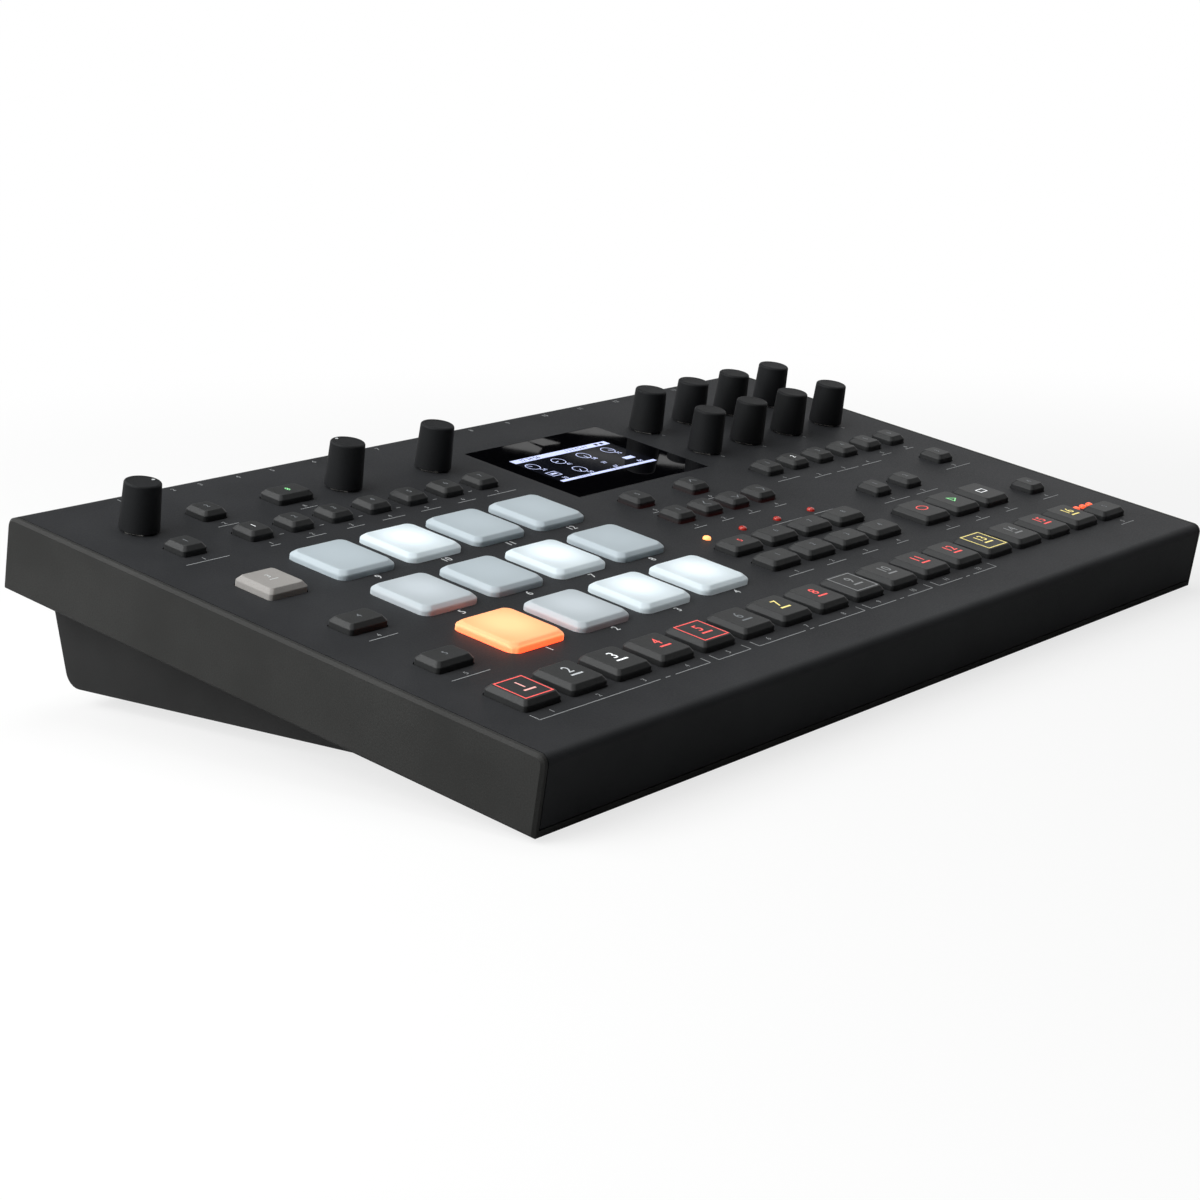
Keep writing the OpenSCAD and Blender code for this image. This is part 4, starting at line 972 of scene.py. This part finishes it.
# %% Pointer dots
DOT_R, DOT_T = 0.55, 0.08
for name, du, dv in (("main_volume_knob", 3.84, -0.41), ("level_knob", -1.30, 3.99)):
    u, v = KNOBS[name]
    bpy.ops.object.select_all(action="DESELECT")
    bpy.ops.mesh.primitive_circle_add(vertices=24, radius=DOT_R, fill_type="NGON",
                                      location=(u + du, v + dv, KNOB_TOP - 0.06))
    dot = start(bpy.context.object, "dot")
    thicken((0, 0, DOT_T))
    bpy.ops.object.mode_set(mode="OBJECT")
    settle(dot, name, f"{name}_dot", finish_with=INK["white"])
    print(name, "has a dot")

# %% [markdown]
# ## Lights beside the keys
# Small lights are domes of tinted acrylic on a leg down to the board. One is lit, three at the
# right glow, and the other three are nearly dark, so the same shape gets three finishes.

# %% Light domes
LENS_GLOSS = (0.12, 0.5)
red_lens = mark_finish("red_acrylic_lens", "#a8291f", 0.25, *LENS_GLOSS)
lit_lens = mark_finish("amber_acrylic_lens", "#ff9a5c", 2.2, *LENS_GLOSS)
page_lens = mark_finish("orange_acrylic_lens", "#ff5a32", 0.9, *LENS_GLOSS)
LENS_R, LENS_TOP, LEG = 1.4, 1.1, 9.6


def dome(u, v):
    """A round dome whose leg reaches the board."""
    bpy.ops.object.select_all(action="DESELECT")
    bpy.ops.mesh.primitive_uv_sphere_add(segments=28, ring_count=16, radius=LENS_R)
    made = start(bpy.context.object, "dome")
    bpy.ops.mesh.select_all(action="SELECT")
    bpy.ops.mesh.bisect(plane_co=(0, 0, 0), plane_no=(0, 0, 1), clear_inner=True, use_fill=True)
    bpy.ops.mesh.select_all(action="SELECT")
    bpy.ops.transform.resize(value=(1, 1, 0.7 * LENS_TOP / LENS_R), center_override=(0, 0, 0))
    bpy.ops.transform.translate(value=(0, 0, 0.3 * LENS_TOP))
    pick_faces(made, lambda middle, normal: normal.z < -0.9)
    bpy.ops.mesh.extrude_region_move(
        TRANSFORM_OT_translate={"value": (0, 0, -LEG - 0.3 * LENS_TOP)})
    bpy.ops.object.mode_set(mode="OBJECT")
    bpy.ops.object.shade_smooth_by_angle(angle=SMOOTH_ANGLE)
    made.data.transform(Matrix.Translation((u, v, 0)))
    return made


beat_lights = [dome(BANK_U - 1.4 + STEP_PITCH * i, 88.9) for i in range(4)]
page_lights = [dome(RIGHT_U + 4.9 * i, 36.6) for i in (-1, 0, 1)]
for domes, name, lens in ((beat_lights[:1], "beat_light_lit", lit_lens),
                          (beat_lights[1:], "beat_lights", red_lens),
                          (page_lights, "page_lights", page_lens)):
    settle(join(domes, name), "case", name, "status_lights", lens)
print("lights:", len(beat_lights) + len(page_lights))

# %% [markdown]
# ## Display
# A sheet of black acrylic lies flush in the panel, and the picture shines through it. The glass
# is nearly a mirror, so its gloss matters more than its colour. The picture is a set of thin
# lit shapes at the surface: a header, two rows of dials with their numbers, and a footer.

# %% Acrylic window
WINDOW = (75.1, 53.5)
DISPLAY_U, DISPLAY_V = 223.6, 167.0
glass, tree, shader, place = finish("polished_black_acrylic", "#040406", 0.04, 0.5)
dust = node(tree, "ShaderNodeTexNoise", {"Vector": place, "Scale": 60.0, "Detail": 4.0})
gloss = node(tree, "ShaderNodeMapRange",
             {"Value": dust.outputs[0], "From Min": 0.35, "From Max": 0.7,
              "To Min": 0.01, "To Max": 0.03})
tree.links.new(gloss.outputs[0], shader.inputs["Roughness"])
window = cube("display_glass", (*WINDOW, PANEL_T), (DISPLAY_U, DISPLAY_V, -PANEL_T / 2))
round_corners(window, 0.6, 4)
soften(window, 0.12, segments=2)
settle(window, "case", "display_glass", "display_window", glass)
print("window faces:", len(window.data.polygons))

# %% The picture
SCREEN_GLOSS = 0.05
screen_glow = mark_finish("screen_white", "#c4cdf4", 0.75, SCREEN_GLOSS)
screen_dark = mark_finish("screen_black", "#05060c", 0.05, SCREEN_GLOSS)
screen_ground = mark_finish("screen_unlit", "#0d0e14", 0.5, SCREEN_GLOSS)
SCREEN_U, SCREEN_V, SCREEN_W, SCREEN_D = 221.5, 167.3, 54.0, 25.4
ground = slab_mark(SCREEN_W + 1.0, SCREEN_D + 0.6, SCREEN_U, SCREEN_V, -0.015)
settle(ground, "case", "display_ground", finish_with=screen_ground)

HEADER_V, HEADER_D, FOOTER_V, FOOTER_D = 178.3, 3.3, 155.4, 1.7
DIAL_ROWS, DIAL_LEFT, DIAL_PITCH, DIAL_R, DIAL_STROKE = (171.7, 161.7), 197.9, 14.35, 2.9, 0.3
picture = [slab_mark(SCREEN_W, HEADER_D, SCREEN_U, HEADER_V, 0),
           slab_mark(SCREEN_W, FOOTER_D, SCREEN_U, FOOTER_V, 0)]
for row, dial_v in enumerate(DIAL_ROWS):
    for column in range(4):
        dial_u = DIAL_LEFT + DIAL_PITCH * column
        if row == 0 or column == 1:
            picture.append(outline_mark(28, DIAL_R, DIAL_STROKE, dial_u, dial_v, 0))
            hand = math.radians(35 + 70 * column + 40 * row)
            bar = slab_mark(0.35, 2.4, 0, 1.3, 0)
            dial_place = Matrix.Translation((dial_u, dial_v, 0))
            bar.data.transform(dial_place @ Matrix.Rotation(hand, 4, "Z"))
            picture.append(bar)
        elif column == 0:
            picture.append(outline_mark(4, 3.6, DIAL_STROKE, dial_u + 0.8, dial_v + 0.9, 0,
                                        math.radians(45), (1, 0.8)))
            picture.append(slab_mark(3.0, 1.2, dial_u + 0.8, dial_v + 0.9, 0))
        elif column == 2:
            picture.append(number_mark(37, 1.9, dial_u + 0.8, dial_v + 0.7, 0))
        else:
            picture.append(slab_mark(5.4, 2.4, dial_u + 0.3, dial_v + 0.4, 0))
        picture.append(number_mark(24 + 17 * column + 9 * row, 1.9, dial_u + 1.3, dial_v - 4.2, 0))
print("shapes in the picture:", len(picture))
settle(join(picture, "picture"), "case", "display_picture", finish_with=screen_glow)

# %% Dark numbers in the header and the footer
left, DARK_N = SCREEN_U - SCREEN_W / 2, 0.02
dark = [number_mark("12 34 56", 2.2, left + 9.5, HEADER_V, DARK_N),
        number_mark("1 2 3 4 5 6 7", 1.8, left + 36.0, HEADER_V, DARK_N),
        number_mark("1 2 3 4 5 6 7 8", 1.1, left + 12.0, FOOTER_V, DARK_N),
        number_mark("9 10 11 12", 1.1, left + 32.0, FOOTER_V, DARK_N)]
dark += [slab_mark(1.6, 1.6, left + u, HEADER_V, DARK_N) for u in (47.5, 50.6)]
print("dark shapes:", len(dark))
settle(join(dark, "dark"), "case", "display_header_gaps", finish_with=screen_dark)

# %% [markdown]
# ## Rear of the machine
# The photograph doesn't show the rear. Real jacks are held by a hexagon nut, and round sockets
# have a thin metal rim. These are modelled in level axes, because the sockets point straight
# back, and each one sits on its CAD nose.

# %% Places at the rear
SOCKET_Z, HALF_WIDTH = 24.0, 192.5
NOSE_Y = 1000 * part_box("rear_sockets")[1].y
level = Matrix.Scale(0.001, 4)
print("the sockets' noses end at y in mm:", round(NOSE_Y, 2))


def level_x(u):
    """A place along the width, counted from the machine's middle."""
    return u - HALF_WIDTH


def rear_ring(corners, outer, inner, depth, x, y):
    """A ring or nut round a socket, with its axis to the rear and its rear face at y."""
    bpy.ops.object.select_all(action="DESELECT")
    bpy.ops.mesh.primitive_circle_add(vertices=corners, radius=outer, fill_type="NGON",
                                      location=(x, y - depth, SOCKET_Z),
                                      rotation=(math.radians(-90), 0, 0))
    made = start(bpy.context.object, "ring")
    bpy.ops.mesh.select_all(action="SELECT")
    bpy.ops.mesh.inset(thickness=outer * math.cos(math.pi / corners) - inner)
    bpy.ops.mesh.delete(type="FACE")
    thicken((0, depth, 0))
    return soften(made, 0.2, segments=2)


# %% Nuts and rings
JACKS = [level_x(41.6 + 17 * i) for i in range(8)]
DATA_SOCKETS = [level_x(211 + 21.2 * i) for i in range(3)]
INLET_X, POWER_X = level_x(297), level_x(337)
NUT_R, NUT_BORE, NUT_T, NUT_OUT = 7.0, 4.7, 2.0, 0.4
RIM_T, RIM_OUT = 0.5, 0.35
nuts = [rear_ring(6, NUT_R, NUT_BORE, NUT_T, x, NOSE_Y + NUT_OUT) for x in JACKS]
settle(join(nuts, "nuts"), "case", "jack_nuts", finish_with=nickel,
       place=level)
rims = [rear_ring(40, 3.9, 3.3, RIM_T, x, NOSE_Y + RIM_OUT) for x in JACKS]
rims += [rear_ring(40, 8.3, 7.2, RIM_T, x, NOSE_Y + RIM_OUT) for x in DATA_SOCKETS]
rims.append(rear_ring(40, 4.5, 3.3, RIM_T, INLET_X, NOSE_Y + RIM_OUT))
print("nuts:", len(nuts), "rims:", len(rims))
settle(join(rims, "rims"), "case", "socket_rims", finish_with=nickel,
       place=level)

# %% Power button
BUTTON_R, BUTTON_DEPTH = 4.5, 3.4
bpy.ops.object.select_all(action="DESELECT")
button_low, button_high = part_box("power_button")
face_y = 1000 * button_high.y
bpy.ops.mesh.primitive_cylinder_add(vertices=48, radius=BUTTON_R, depth=BUTTON_DEPTH,
                                    rotation=(math.radians(-90), 0, 0),
                                    location=(POWER_X, face_y - BUTTON_DEPTH / 2, SOCKET_Z))
button = start(bpy.context.object, "button")
pick_faces(button, lambda middle, normal: normal.y > 0.9)
bpy.ops.mesh.bevel(offset=0.5, segments=4)
pick_faces(button, lambda middle, normal: normal.y > 0.9)
bpy.ops.mesh.inset(thickness=0.9)
bpy.ops.mesh.extrude_region_move(TRANSFORM_OT_translate={"value": (0, -0.35, 0)})
pick_faces(button, lambda middle, normal: normal.y < -0.9)
bpy.ops.mesh.inset(thickness=2.5)
stem_end = 1000 * button_low.y - face_y + BUTTON_DEPTH
bpy.ops.mesh.extrude_region_move(TRANSFORM_OT_translate={"value": (0, stem_end, 0)})
soften(button, 0.12, segments=2, angle=50)
settle(button, "power_button", "power_button_cap", "power_button", button_abs,
       place=level)
print("power button faces:", len(button.data.polygons))

# %% [markdown]
# ## Close
# The last cell leaves nothing selected.

# %% Nothing selected
bpy.ops.object.select_all(action="DESELECT")
